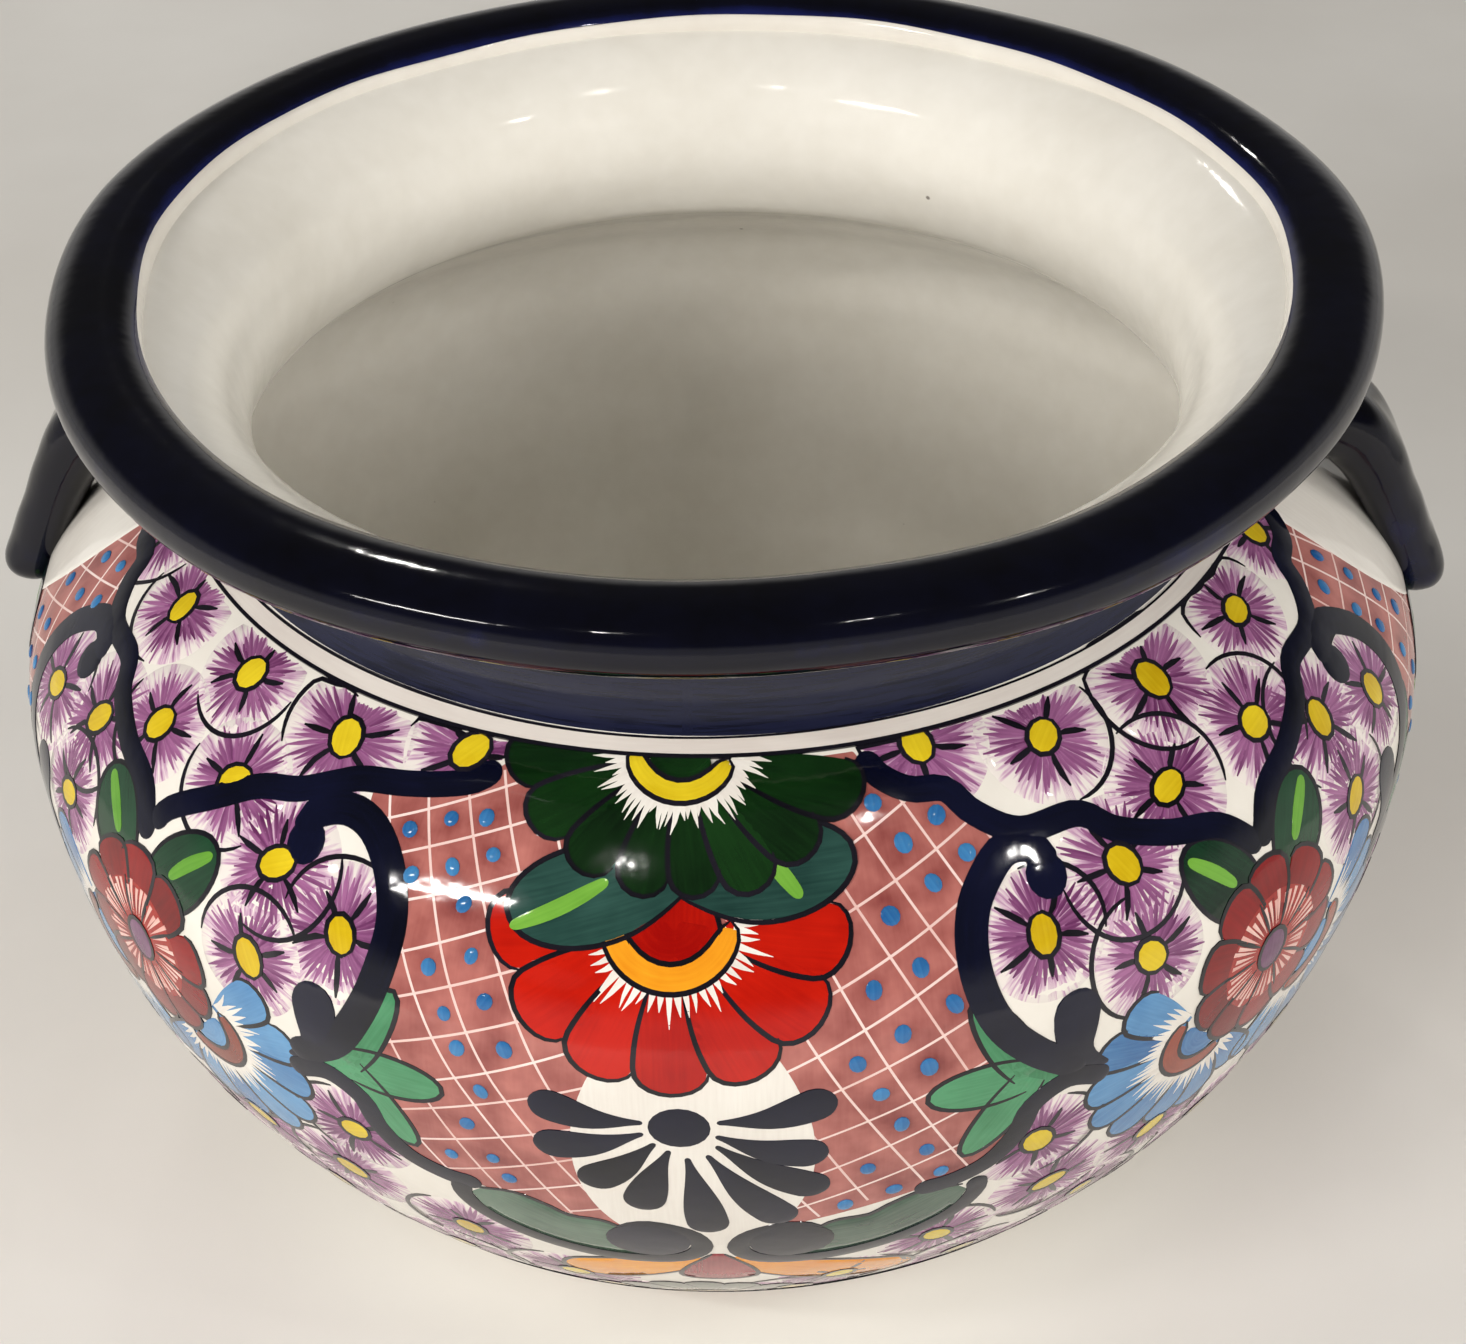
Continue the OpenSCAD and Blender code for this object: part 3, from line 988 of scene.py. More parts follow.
def blossom(theta, s, size):
    """A lavender blossom about a yellow eye."""
    middle = spot(theta, s)
    pitch = 360 // STAMENS
    first = dice.uniform(0, pitch)
    limit = room(theta, s, 1.05 * size, DISC)

    def limit_at(a):
        return np.interp(a % (2 * math.pi), DISC, limit)

    faded_disc(middle, limit, size)
    for lean in np.arange(0, 360, 8.2) + first:
        a = math.radians(lean + dice.uniform(-2.5, 2.5))
        beat = 0.84 + 0.14 * math.cos(math.radians((lean - first) * STAMENS + 180))
        far = min(size * beat * dice.uniform(0.82, 1.08), float(limit_at(a)))
        if far > 6:
            hair = ray(middle, (dice.uniform(3.5, 6.5), a), (0.6 * far, a), (far, a))
            stroke("purple_hair", hair, 1.45, 0.05, shape=swell, base=0.12, section=HAIR, step=6.5)
    for k in range(STAMENS):
        a = math.radians(first + pitch * k + dice.uniform(-9, 9))
        far = min(size * dice.uniform(0.62, 0.92), float(limit_at(a)))
        if far > 7:
            sway = dice.uniform(-0.12, 0.12)
            stamen = ray(middle, (3.5, a), (0.6 * far, a + sway), (far, a))
            stroke("fine_black", stamen, 2.0, 0.12, shape=swell, base=0.16, section=HAIR, step=3.0)
    begin = math.radians(first + pitch * dice.integers(0, STAMENS))
    turns = np.linspace(begin, begin + math.radians(dice.uniform(90, 170)), ARC_STEPS)
    bulge = size * (1.03 + 0.05 * np.sin(np.linspace(0, np.pi, ARC_STEPS)))
    outline(ray(middle, *zip(np.minimum(bulge, limit_at(turns) * 1.05), turns)), 0.14)
    eye_board = spot(theta, s, dice.uniform(0, 180))
    oval("yellow_eye", eye_board, dice.uniform(4.0, 4.8), dice.uniform(5.0, 6.0), 0.3, 0.35, edge=True)


print("a blossom's disc has", len(DISC), "sides")

# %% [markdown]
# ## Lattice panels
# Four panels carry a pink wash ruled with pale crossing lines, and a raised blue dot sits in every
# cell. The lines are a square grid turned by about 25 degrees. The painter ruled each half of a
# panel for itself, and the left one closer, so a half is one call. Each line is cut where the panel
# ends, and dots that would fall under a flower are left out.

# %% Where a panel is, and what covers it
GRID_TURN, DEGREE_MM = math.radians(25), 3.4
CLOSE_CELL, MIDDLE_CELL, WIDE_CELL = 11.4, 12.2, 13.0
GRID_REACH = 11  # cells to each side of the grid's middle
GRID_S = 80  # where the grid's middle lies, mm down the side
# The two columns beside each panel, by the panel's middle in degrees
PANEL_COLUMNS = {
    -90: COLUMN_AXES[:2],
    0: COLUMN_AXES[1:3],
    90: COLUMN_AXES[2:],
    180: (COLUMN_AXES[3], COLUMN_AXES[0] + 360),
}


def panel_sides(middle, s):
    """Where a panel begins and ends, in degrees, between two flower columns."""
    before, after = PANEL_COLUMNS[middle]
    return before + column_edge(before, 1, s), after - column_edge(after, -1, s)


def in_oval(x, s, mid_x, mid_s, half_x, half_s, margin=1.0):
    """True inside an oval on the flat map, grown by a margin."""
    return ((x - mid_x) / half_x) ** 2 + ((s - mid_s) / half_s) ** 2 < margin


def under_sprigs(x, s):
    """True where the green sprigs of the two scrolls cover a panel."""
    return in_oval(abs(x), s, 24, 101, 7.2, 27)


def under_front_flowers(x, s):
    """True where the front flowers cover a panel: x is degrees from its middle."""
    green_flower = in_oval(x, s, 0, 4, 15.5, 38, 1.1)
    leaves = in_oval(x, s, -0.6, 39, 14.2, 18, 1.1)
    red_daisy = in_oval(x, s, -1.3, 48, 13.2, 46, 1.12)
    fan = in_oval(x, s, -0.6, 110, 12.0, 48)
    return green_flower or leaves or red_daisy or fan or under_sprigs(x, s)


def under_handle(x, s):
    """True where the handle's white reserve and the flowers below it cover a panel."""
    reserve = in_oval(x, s, 0, 5, 15.5, 78, 1.08)
    red_daisy = in_oval(x, s, 0, 96, 13.5, 45, 1.12)
    return reserve or red_daisy or under_sprigs(x, s) or s > 140


print("a panel at half height runs from", [round(float(v), 1) for v in panel_sides(0, GRID_S)])

# %% Ruled lines


def ruled_lines(middle, side, cell):
    """The crossing lines on one half of a panel: side is -1 left of its middle and 1 right of it."""
    c, k = math.cos(GRID_TURN), math.sin(GRID_TURN)
    run = np.linspace(-130, 130, 131)
    for n in range(-GRID_REACH, GRID_REACH + 1):
        for along_x, along_y in ((c, -k), (k, c)):
            sway = 0.8 * np.sin(run / 31 + n * 2.1)
            off = n * cell + sway + dice.uniform(-0.6, 0.6)
            x = (run * along_x - off * along_y) / DEGREE_MM
            line_s = GRID_S + run * along_y + off * along_x
            begin, end = panel_sides(middle, line_s)
            inside = (middle + x > begin + 0.4) & (middle + x < end - 0.4) & (side * x > 0)
            inside = inside & (line_s > 8) & (line_s < 153)
            cuts = np.flatnonzero(np.diff(np.concatenate([[0], inside.astype(int), [0]])))
            for start, stop in cuts.reshape(-1, 2):
                if stop - start > 3:
                    places = np.column_stack([middle + x, line_s])[start:stop:2]
                    stroke("grid_line", places, 0.78, 0.03, base=0.19, section=HAIR, step=1.8)


print("cells in mm:", CLOSE_CELL, MIDDLE_CELL, WIDE_CELL)

# %% Dots


def dot_places(middle, side, cell, covered):
    """The dots on one half of a panel: degrees from its middle, mm down, and size."""
    c, k = math.cos(GRID_TURN), math.sin(GRID_TURN)
    places = []
    for n in range(-GRID_REACH, GRID_REACH):
        for m in range(-GRID_REACH, GRID_REACH):
            p = (n + 0.5) * cell + dice.normal(0, 0.7)
            q = (m + 0.5) * cell + dice.normal(0, 0.7)
            x, s = (p * c + q * k) / DEGREE_MM, GRID_S - p * k + q * c
            begin, end = panel_sides(middle, s)
            free = begin + 1.9 < middle + x < end - 1.9 and 10 < s < 151 and not covered(x, s)
            if free and side * x > 0:
                places.append((x, s, cell / WIDE_CELL))
    return places


print("the grid is turned by", round(math.degrees(GRID_TURN)), "degrees")

# %% [markdown]
# ## The wash
# The wash is thin and wet, so it pools: it dries darker round each dot and paler along the lines.
# A picture could show that, but here it is a value stored on the sheet's own points, which the
# glaze reads as its tone. The sheet is one closed grid per panel that ends under the blue scrolls.

# %% Wash
POOL_MM = 4.4


def wash(middle, dots):
    """The pink sheet of one panel, darker where it pools round the dots."""
    rows = np.linspace(6, 155, 90)[:, None]
    share = np.linspace(0, 1, 73)[None, :]
    begin, end = panel_sides(middle, rows)
    theta = begin + share * (end - begin)
    s = rows + 0 * share
    own = np.full(theta.shape, 0.7)
    for x, dot_s, size in dots:
        apart = np.hypot((theta - middle - x) * DEGREE_MM, s - dot_s)
        own -= dice.uniform(0.2, 0.85) * np.exp(-(apart / (POOL_MM * size)) ** 2)
    brush = np.column_stack([s.ravel(), (theta - middle).ravel() * DEGREE_MM])
    pillow("pink_wash", theta, s, flat_sheet(theta), 0.12, 0.03, brush, double=True, own=own)


def lattice(middle, covered, left_cell, right_cell):
    """One ruled, dotted and washed panel about a middle line."""
    dots = []
    for side, cell in ((-1, left_cell), (1, right_cell)):
        ruled_lines(middle, side, cell)
        dots += dot_places(middle, side, cell, covered)
    for x, s, size in dots:
        board = spot(middle + x, s, dice.uniform(-30, 30))
        half_x = 2.2 * size * dice.uniform(0.88, 1.12)
        half_y = 2.5 * size * dice.uniform(0.88, 1.15)
        oval("blue_dot", board, half_x, half_y, 0.15, 1.5, sides=12)
    wash(middle, dots)


for middle in (0, 180):
    lattice(middle, under_front_flowers, CLOSE_CELL, WIDE_CELL)
for middle in (-90, 90):
    lattice(middle, under_handle, MIDDLE_CELL, MIDDLE_CELL)
print("dots:", len(paint["blue_dot"]["place"]), "lines:", len(paint["grid_line"]["place"]))

# %% [markdown]
# ## The middle of a panel
# From the neck down: a green half flower, two dark leaves, a red half daisy, a white fan with blue
# drops, and two scroll leaves over orange petals. One side could be mirrored, but the hand never
# paints two sides alike, so the two leaves and the drops each have a place of their own.

# %% Leaves and fan
# Where the fan's drops end: degrees from the panel's middle, then mm down
FAN_ENDS = [(-11, 96), (-11, 113), (-7.9, 128), (-4, 139), (1, 151), (6.7, 146), (9.3, 131), (9.3, 115),
            (9.8, 94)]


def dark_leaf(middle, x, s, turn, length, width, vein):
    """A broad leaf with a bright vein through three places, all measured from a panel's middle."""
    petal("teal_leaf", spot(middle + x, s, turn), length, width, 0.88, waist=0.36, belly=0.52)
    places = [(middle + vein_x, vein_s) for vein_x, vein_s in vein]
    stroke("bright_vein", places, 4.4, 0.14, shape=swell, base=1.0)


def drop_fan(middle, down):
    """A white fan with an oval eye and nine blue drops."""
    eye_theta, eye_s = middle - 0.8, 102.5 + down
    for end_theta, end_s in FAN_ENDS:
        end = np.array([middle + end_theta, end_s + down])
        root = np.array([eye_theta, eye_s])
        from_root = root + (end - root) * 0.24
        mid_way = root + (end - root) * 0.6 + np.array([0.0, 2.0 * np.sign(abs(end_theta) - 5)])
        stroke("navy_brush", [from_root, mid_way, end], 11.6, 0.5, shape=drop, base=0.36)
    wide_oval("white_ground_paint", spot(middle, 114 + down), 31, 47, 0.28, 0.04)
    oval("navy_brush", spot(eye_theta, eye_s), 8, 7.4, 0.3, 0.5, sides=20)


print("the fan has", len(FAN_ENDS), "drops")

# %% Scroll leaves
# The leaf's two long sides and its dark edge: degrees from the panel's middle, then mm down
LEAF_UPPER = [(16, 141), (13, 139), (10.5, 143), (9, 147), (6.6, 147.5), (4.8, 152), (3.4, 153)]
LEAF_LOWER = [(16.6, 143), (15.4, 155), (11.5, 165), (7, 169.5), (3.5, 169), (1, 164), (1.4, 157)]
LEAF_EDGE = [(17, 139), (17.2, 147), (15.6, 157), (11.6, 166.5), (6.5, 171.5), (1.5, 170), (-0.6, 162),
             (0.2, 153), (3, 148.5), (5, 152), (4.4, 158)]
CURL = (3.4, 158)
LEAF_STEPS = 22


def scroll_leaf(middle, flip, shift_theta, shift_s):
    """A grey-green leaf with a thick dark edge that curls at its inner end."""

    def at(points):
        return [(middle + shift_theta + flip * x, s + shift_s) for x, s in points]

    upper = curve_through(at(LEAF_UPPER), LEAF_STEPS)
    lower = curve_through(at(LEAF_LOWER), LEAF_STEPS)
    share = (ROUND[:, 0] + 1)[None, :, None] / 2
    grid = upper[:, None, :] * (1 - share) + lower[:, None, :] * share
    along = np.repeat(np.arange(LEAF_STEPS) * 2.5, len(ROUND))
    brush = np.column_stack([along, np.tile(ROUND[:, 0] * 10, LEAF_STEPS)])
    pillow("scroll_green", grid[..., 0], grid[..., 1], domed_rows(LEAF_STEPS), 0.18, 0.2, brush)
    stroke("navy_brush", at(LEAF_EDGE), 6.2, 0.45, base=0.3)
    oval("navy_brush", spot(*at([CURL])[0]), 11.5, 10.5, 0.6, 0.4, sides=22)
    outline(upper, 0.3)


print("the scroll leaf's edge goes through", len(LEAF_EDGE), "points")

# %% Flowers of the front panel


def front_panel(middle):
    """The whole run of flowers below the neck."""
    dark_leaf(middle, 0.2, 32.5, -70, 48, 24, [(-13.1, 51.5), (-9.6, 45), (-6.2, 37.5)])
    dark_leaf(middle, -1.2, 35.5, 92, 44, 25, [(5.3, 29), (6.9, 35), (8.4, 42)])
    petal("poppy_red", spot(middle - 1.0, 57, 180), 21, 23, 0.63, waist=0.95, belly=0.15)
    half_daisy(middle - 0.9, 3.0, -5, 37, 8, 86, "green", base=1.06, stretch=1.26, halo=0.58)
    half_daisy(middle - 1.3, 46, 0, 45, 7, 95, "red")
    drop_fan(middle, 0)
    petal("orange_band", spot(middle + 0.4, 171, -62), 44, 19, 0.2)
    petal("orange_band", spot(middle + 2.0, 171, 58), 60, 21, 0.2)
    petal("maroon", spot(middle + 1.4, 166), 25, 21, 0.3, waist=0.1, belly=0.8)
    scroll_leaf(middle, -1, -0.4, 0)
    scroll_leaf(middle, 1, 3.6, 1)
    half_daisy(middle, 226, 180, 30, 7, 84, "green", base=0.3)


for middle in (0, 180):
    front_panel(middle)
print("front and back panels painted")

# %% [markdown]
# ## Handle panels
# Round each handle the painter left the ground white, and the lattice stops along an arch. Below
# the handle the red daisy and the fan follow again, lower down the belly. This part is hidden in
# the picture, so it repeats what the front shows.

# %% Flowers below the handles


def white_reserve(middle):
    """The white arch round a handle's foot."""
    a = np.radians(np.linspace(-90, 90, 73))
    share = np.append(np.linspace(0.02, 0.985, 33), 1.0)
    x = 15.5 * np.sin(a)[:, None] * share
    s = 6 + 77 * np.cos(a)[:, None] * share
    brush = np.column_stack([s.ravel(), x.ravel() * DEGREE_MM])
    pillow("white_ground_paint", middle + x, s, flat_sheet(x), 0.4, 0.04, brush, double=True)


def handle_panel(middle):
    """The arch, and the flowers below it."""
    white_reserve(middle)
    half_daisy(middle, 92, 0, 43, 7, 95, "red")
    dark_leaf(middle, 1.0, 78.5, -70, 46, 24, [(-11.5, 97), (-8.5, 91), (-5.5, 84)])
    dark_leaf(middle, -0.6, 81.5, 92, 43, 25, [(4.5, 76), (6, 82), (7.6, 88)])
    petal("poppy_red", spot(middle + 0.2, 103, 180), 21, 23, 0.63, waist=0.95, belly=0.15)
    drop_fan(middle, 46)


for middle in (-90, 90):
    handle_panel(middle)
print("handle panels painted")

# %% [markdown]
# ## Flower columns
# Between the panels stand four columns, each the mirror of itself about its axis: blossoms under the
# neck in a scalloped blue border, two blue scrolls, and a crimson flower on two sky-blue half
# daisies. Points are written as degrees from the axis and millimetres down, for one side only, and
# the function paints both.

# %% Blue borders and scrolls
CLOSE_BORDER = [(28.3, 12.5), (26.8, 17.5), (24.3, 20.5), (20.5, 23.5), (16.6, 26), (14.2, 30), (11.5, 35),
                (8, 39), (4.7, 47), (0.9, 57), (0.1, 64)]
LOOSE_BORDER = [(30.2, 8), (29.4, 14), (27, 19.5), (24, 21.5), (22.3, 29), (19, 36.5), (14, 37.5),
                (11.4, 45), (7.1, 52), (2.8, 57), (0, 68)]
CLOSE_SCROLL = [(14.3, 46), (14, 39), (16.6, 34.3), (19.5, 36.5), (22, 45), (23.4, 57), (23.2, 70), (22, 83),
                (19.7, 96), (16, 105)]
LOOSE_SCROLL = [(18.3, 49), (18.4, 42), (20.4, 39.5), (22.4, 43), (24.6, 52), (25.4, 65), (24.4, 80),
                (21.6, 93), (17.6, 105)]
SCROLL_BUD = [(15.6, 107), (18.0, 99), (18.4, 88), (17.8, 79)]
LOW_BORDER = [(15.4, 112), (18.6, 107.5), (21.4, 113), (22.3, 123), (24.2, 133), (27.1, 138), (29.7, 138.5)]


def blue_work(axis, flip):
    """The blue lines and the green sprig of one side of a column."""
    loose = is_loose(axis, flip)
    border, scroll = (LOOSE_BORDER, LOOSE_SCROLL) if loose else (CLOSE_BORDER, CLOSE_SCROLL)

    def at(points):
        return [(axis + flip * x, s) for x, s in points]

    stroke("navy_brush", at(border), 7.2, 0.45, base=0.3)
    stroke("navy_brush", at(scroll), 9.0, 0.5, base=0.3)
    oval("navy_brush", spot(*at(scroll[:1])[0]), 5.6, 6.2, 0.25, 0.55, sides=16)
    stroke("navy_brush", at(SCROLL_BUD), 14.0, 0.6, shape=drop, base=0.3)
    stroke("navy_brush", at(LOW_BORDER), 7.4, 0.45, base=0.3)
    root = axis + flip * (21.8 if loose else 20.6)
    oval("sprig_green", spot(root - flip * 1.2, 103), 7.5, 8.0, 0.2, 0.08, sides=18)
    for turn, length, width in ((152, 31, 12), (92, 28, 15), (32, 31, 13)):
        petal("sprig_green", spot(root, 101, turn, flip), length, width, 0.26, waist=0.75, belly=0.4)


for axis in COLUMN_AXES:
    for flip in (-1, 1):
        blue_work(axis, flip)
print("blue strokes:", len(paint["navy_brush"]["place"]))

# %% Crimson flower on sky-blue daisies
CRIMSON_S, CRIMSON_PETALS, CRIMSON_STREAKS = 100, 10, 44


def column_flowers(axis):
    """The large flowers of one column."""
    for flip in (-1, 1):
        half_daisy(axis + flip * 6.2, 116, 48, 39, 8, 96, "sky", flip=flip, base=0.22, halo=0.62)
        board = spot(axis + flip * 1.6, 83, 143, flip)
        petal("leaf_green", board, 31, 20, 0.3, waist=0.5, belly=0.5)
        vein = [board(1, 12), board(0.5, 20), board(-1, 29)]
        stroke("bright_vein", vein, 4.2, 0.14, shape=swell, base=0.42)
    heart = spot(axis, CRIMSON_S)
    pitch = 360 / CRIMSON_PETALS
    for k in range(CRIMSON_PETALS):
        board = spot(axis, CRIMSON_S, pitch * k + dice.uniform(-3, 3))
        petal("crimson", board, 20.5, 15.8, 0.66 + 0.02 * (k % 2), start=8.5, shared=True)
    oval("crimson_light", heart, 18.5, 19, 0.8, 0.1, sides=30)
    for k in range(CRIMSON_STREAKS):
        a = math.radians(k * 360 / CRIMSON_STREAKS + dice.uniform(-2, 2))
        far = dice.uniform(15.5, 19)
        streak = ray(heart, (far, a), (0.7 * far, a), (8.5, a))
        stroke("pink_streak", streak, 1.5, 0.06, shape=tail, base=0.9, section=HAIR, step=4.0)
    for k in range(CRIMSON_PETALS):
        a = math.radians(pitch * k + pitch / 2)
        outline(ray(heart, (7, a), (12, a), (19, a)), 0.88, 1.2)
    oval("purple_heart", heart, 5.6, 7.0, 1.0, 0.5, edge=True, sides=18)


for axis in COLUMN_AXES:
    column_flowers(axis)
print("column flowers painted")

# %% Blossoms
# Blossom places on one side of a column: degrees from the axis, mm down; those at 0 are painted once
BLOSSOMS = [(0, 16), (13.5, 18), (25, 9.5), (5.6, 41), (12.4, 55), (20.2, 63), (12.2, 79), (20, 130),
            (17.5, 160), (26.5, 173), (8, 156), (12.5, 186), (0, 176), (23, 203), (4.5, 206), (34, 198),
            (37, 215), (14, 214)]

for axis in COLUMN_AXES:
    for x, s in BLOSSOMS:
        for flip in ((-1, 1) if x else (1,)):
            theta = axis + flip * x + dice.uniform(-0.5, 0.5)
            blossom(theta, s + dice.uniform(-1.5, 1.5), dice.uniform(16.5, 19.0))
print("blossoms:", len(paint["yellow_eye"]["place"]))

# %% [markdown]
# ## Rings round the neck and the foot
# A grey-blue wash, darkened almost to black as painted shade under the rim, fills the hollow neck,
# two thin black lines frame a white band below it, and a blue line closes the painting above the
# foot. Rings go all the way round, so they are grids on the flat map that close on themselves.

# %% One ring
RING_STEPS = 360
MAP_ABOVE, MAP_HIGH = 60, 345  # mm on the texture layout
MAP_LEFT, MAP_WIDE = 205, 440  # degrees on the texture layout


def up_the_map(s):
    """The height of a place on the texture layout, 0 to 1."""
    return np.clip((s + MAP_ABOVE) / MAP_HIGH, 0, 1)


def ring_piece(name, material, start, stop, lift, waver=0.0):
    """A band of glaze right round the pot between two lengths."""
    inner = np.linspace(start + 0.12, stop - 0.12, max(3, int(abs(stop - start) / 2.0)))
    rows = np.concatenate([[start], inner, [stop]])
    up = np.concatenate([[SUNK], np.full(len(inner), lift), [SUNK]])
    rows = np.concatenate([rows, rows[-2:0:-1]])
    up = np.concatenate([up, np.full(len(rows) - len(up), SUNK)])
    theta = np.arange(RING_STEPS) * 360 / RING_STEPS
    swing = waver * (np.sin(np.radians(theta) * 3 + start) + 0.6 * np.sin(np.radians(theta) * 7 + 2 * stop))
    grid_theta, grid_s = np.meshgrid(theta, rows)
    grid_s = grid_s + swing
    points = on_side(grid_theta.ravel(), grid_s.ravel(), np.repeat(up, RING_STEPS))
    brush = np.column_stack([grid_theta.ravel() * 3.0, grid_s.ravel()])
    flat = np.column_stack([grid_theta.ravel() / 360, up_the_map(grid_s.ravel())])
    made = make_piece(name, points, wrapped_faces(len(rows), RING_STEPS), material,
                      brush, np.full(len(points), 0.5), flat)
    print(made.name, len(made.data.polygons), "faces")


print("rings have", RING_STEPS, "steps")

# %% Six rings
# The neck wash is real, but its near-black tones are painted shade from the rim's overhang.
neck_wash_and_shade = brushed_glaze("neck_wash_and_shade", tone(6, 7, 16), tone(25, 28, 52), cloud=22.0, streak=0.8)
ring_piece("neck_band", neck_wash_and_shade, SIDE[0, 0] + 0.5, 0.3, 0.25, 0.2)
ring_white = brushed_glaze("ring_white", tone(214, 204, 196), tone(234, 227, 219), cloud=30.0)
ring_piece("neck_band_white", ring_white, 0.2, 5.6, 0.64, 0.2)
ring_black = brushed_glaze("ring_black", tone(10, 9, 14), tone(26, 24, 34))
ring_piece("neck_line_upper", ring_black, -0.4, 1.0, 0.74, 0.2)
ring_piece("neck_line_lower", ring_black, 5.0, 6.3, 0.74, 0.2)
ring_navy = brushed_glaze("ring_navy", tone(7, 8, 20), tone(20, 25, 62))
ring_piece("foot_line_fine", ring_black, 223.0, 224.3, 0.45, 0.4)
ring_piece("foot_line_broad", ring_navy, 230.0, 236.5, 0.5, 0.5)

# %% [markdown]
# ## Colours of the palette
# Folk painters work from a small palette, each colour in one pot. A node tree could be built by hand
# for each, but they differ only in a few values: a deep and a thin tone, as the brush leaves it, how
# fine the clouds are, and how much the brush shows. The lavender wash is the exception: it fades
# from its middle, so it has a tree of its own.

# %% Palette
PALETTE = {
    "pink_wash": (tone(104, 26, 30), tone(194, 122, 113), 95.0, 0.1),
    "grid_line": (tone(222, 182, 174), tone(244, 222, 216), 60.0),
    "blue_dot": (tone(28, 84, 144), tone(66, 130, 182), 90.0),
    "purple_hair": (tone(94, 38, 84), tone(160, 102, 146), 60.0),
    "yellow_eye": (tone(194, 160, 8), tone(228, 202, 40), 90.0),
    "fine_black": (tone(10, 9, 14), tone(30, 27, 36), 60.0),
    "navy_brush": (tone(4, 5, 12), tone(13, 16, 42), 40.0),
    "deep_green": (tone(6, 26, 8), tone(20, 54, 20), 50.0),
    "teal_leaf": (tone(16, 44, 40), tone(50, 86, 78), 50.0),
    "leaf_green": (tone(8, 32, 20), tone(30, 68, 44), 50.0),
    "bright_vein": (tone(76, 134, 36), tone(118, 174, 66), 60.0),
    "sprig_green": (tone(42, 108, 68), tone(80, 150, 106), 60.0),
    "poppy_red": (tone(150, 6, 2), tone(192, 26, 8), 60.0),
    "orange_band": (tone(214, 116, 8), tone(240, 164, 36), 60.0),
    "crimson": (tone(98, 1, 3), tone(142, 6, 8), 60.0),
    "crimson_light": (tone(136, 20, 16), tone(176, 50, 40), 90.0),
    "pink_streak": (tone(216, 148, 138), tone(240, 204, 194), 60.0),
    "purple_heart": (tone(84, 40, 78), tone(130, 84, 120), 120.0),
    "sky_blue": (tone(46, 100, 156), tone(98, 154, 200), 55.0),
    "brown_band": (tone(104, 34, 22), tone(156, 72, 50), 60.0),
    "white_ground_paint": (tone(222, 215, 206), tone(240, 236, 228), 40.0),
    "scroll_green": (tone(44, 66, 54), tone(96, 120, 102), 60.0),
    "maroon": (tone(120, 34, 44), tone(172, 72, 76), 60.0),
}


def fading_lavender():
    """Purple that fades to the white ground towards the blossom's rim, in streaks."""
    made, tree, shader = blank("lavender_wash")
    fan = add(tree, "ShaderNodeUVMap", uv_map="brush").outputs["UV"]
    parts = add(tree, "ShaderNodeSeparateXYZ", [("Vector", fan)])
    thin_out = add(tree, "ShaderNodeMapping", [("Vector", fan)], Scale=(1.6, 1.0, 1.0))
    hairs = noise(tree, 1.5, 3.0, thin_out.outputs[0])
    mix = total(tree, (hairs, 1.5), (parts.outputs["Y"], -0.75))
    tree.links.new(shader.inputs["Base Color"], ramp(
        tree, mix, (0.0, tone(228, 220, 214)), (0.22, tone(200, 164, 188)), (0.5, tone(138, 76, 126))))
    gloss(tree, shader, 0.04, 0.10)
    orange_peel(tree, shader, 0.10)
    return made


materials = {name: brushed_glaze(name, *look) for name, look in PALETTE.items()}
materials["lavender_wash"] = fading_lavender()
print("finishes:", len(materials))

# %% [markdown]
# ## Strokes become pieces
# Thousands of strokes now wait in lists, sorted by finish. Each could be an object of its own, but
# that would be slow to load and hard to handle. So all strokes of one finish become one mesh, as a
# painter finishes with one colour before the next, and their places double as the texture layout.

# %% One mesh for each finish
for finish, store in paint.items():
    place = np.vstack(store["place"])
    flat = np.column_stack([(place[:, 0] + MAP_LEFT) / MAP_WIDE, up_the_map(place[:, 1])])
    brush, own = np.vstack(store["brush"]), np.concatenate(store["own"])
    made = make_piece("paint_" + finish, on_side(*place.T), store["faces"], materials[finish],
                      brush, own, flat)
    print(made.name, sum(len(face) - 2 for face in store["faces"]), "triangles")

# %% [markdown]
# ## Table, light and the finish line
# The pot stands on a plain pale table. Broad lamps give the soft shade, but a broad lamp would also
# leave a broad white patch on the glaze. So the broad ones are kept out of the reflections, and a
# thin strip and a few small lamps put the narrow bright marks there that say the glaze is glossy.
# Far from the lamps the table would go dark, and more light would bleach the colours. So the far
# table and the low sky glow a little for rays that only look at them, and light nothing.

# %% Backdrop
BACKDROP = 0.48  # brightness of the far table, where 1 is white
SOFT_WORLD = 0.07  # what the sky gives as light
LAMP_WHITE = (1.0, 0.97, 0.93)


def seen_as_backdrop(tree):
    """1 for rays that only look at the backdrop: from the camera, off a gloss or through glass."""
    rays = add(tree, "ShaderNodeLightPath").outputs
    bare = add(tree, "ShaderNodeMath", operation="MAXIMUM")
    tree.links.new(bare.inputs[0], rays["Is Camera Ray"])
    tree.links.new(bare.inputs[1], rays["Is Glossy Ray"])
    every = add(tree, "ShaderNodeMath", operation="MAXIMUM")
    tree.links.new(every.inputs[0], bare.outputs[0])
    tree.links.new(every.inputs[1], rays["Is Transmission Ray"])
    return every.outputs[0]


def eased(tree, value, start, end, low, high):
    """A soft step of a value, from low at start to high at end."""
    step = add(tree, "ShaderNodeMapRange", [("Value", value)], interpolation_type="SMOOTHSTEP")
    for name, number in zip(("From Min", "From Max", "To Min", "To Max"), (start, end, low, high)):
        step.inputs[name].default_value = number
    return step.outputs["Result"]


print("backdrop brightness", BACKDROP)

# %% Table
TABLE_HALF = 30.0  # metres, so that its edge is never seen
GLOW_FROM, GLOW_TO = 0.9, 2.6  # metres from the pot


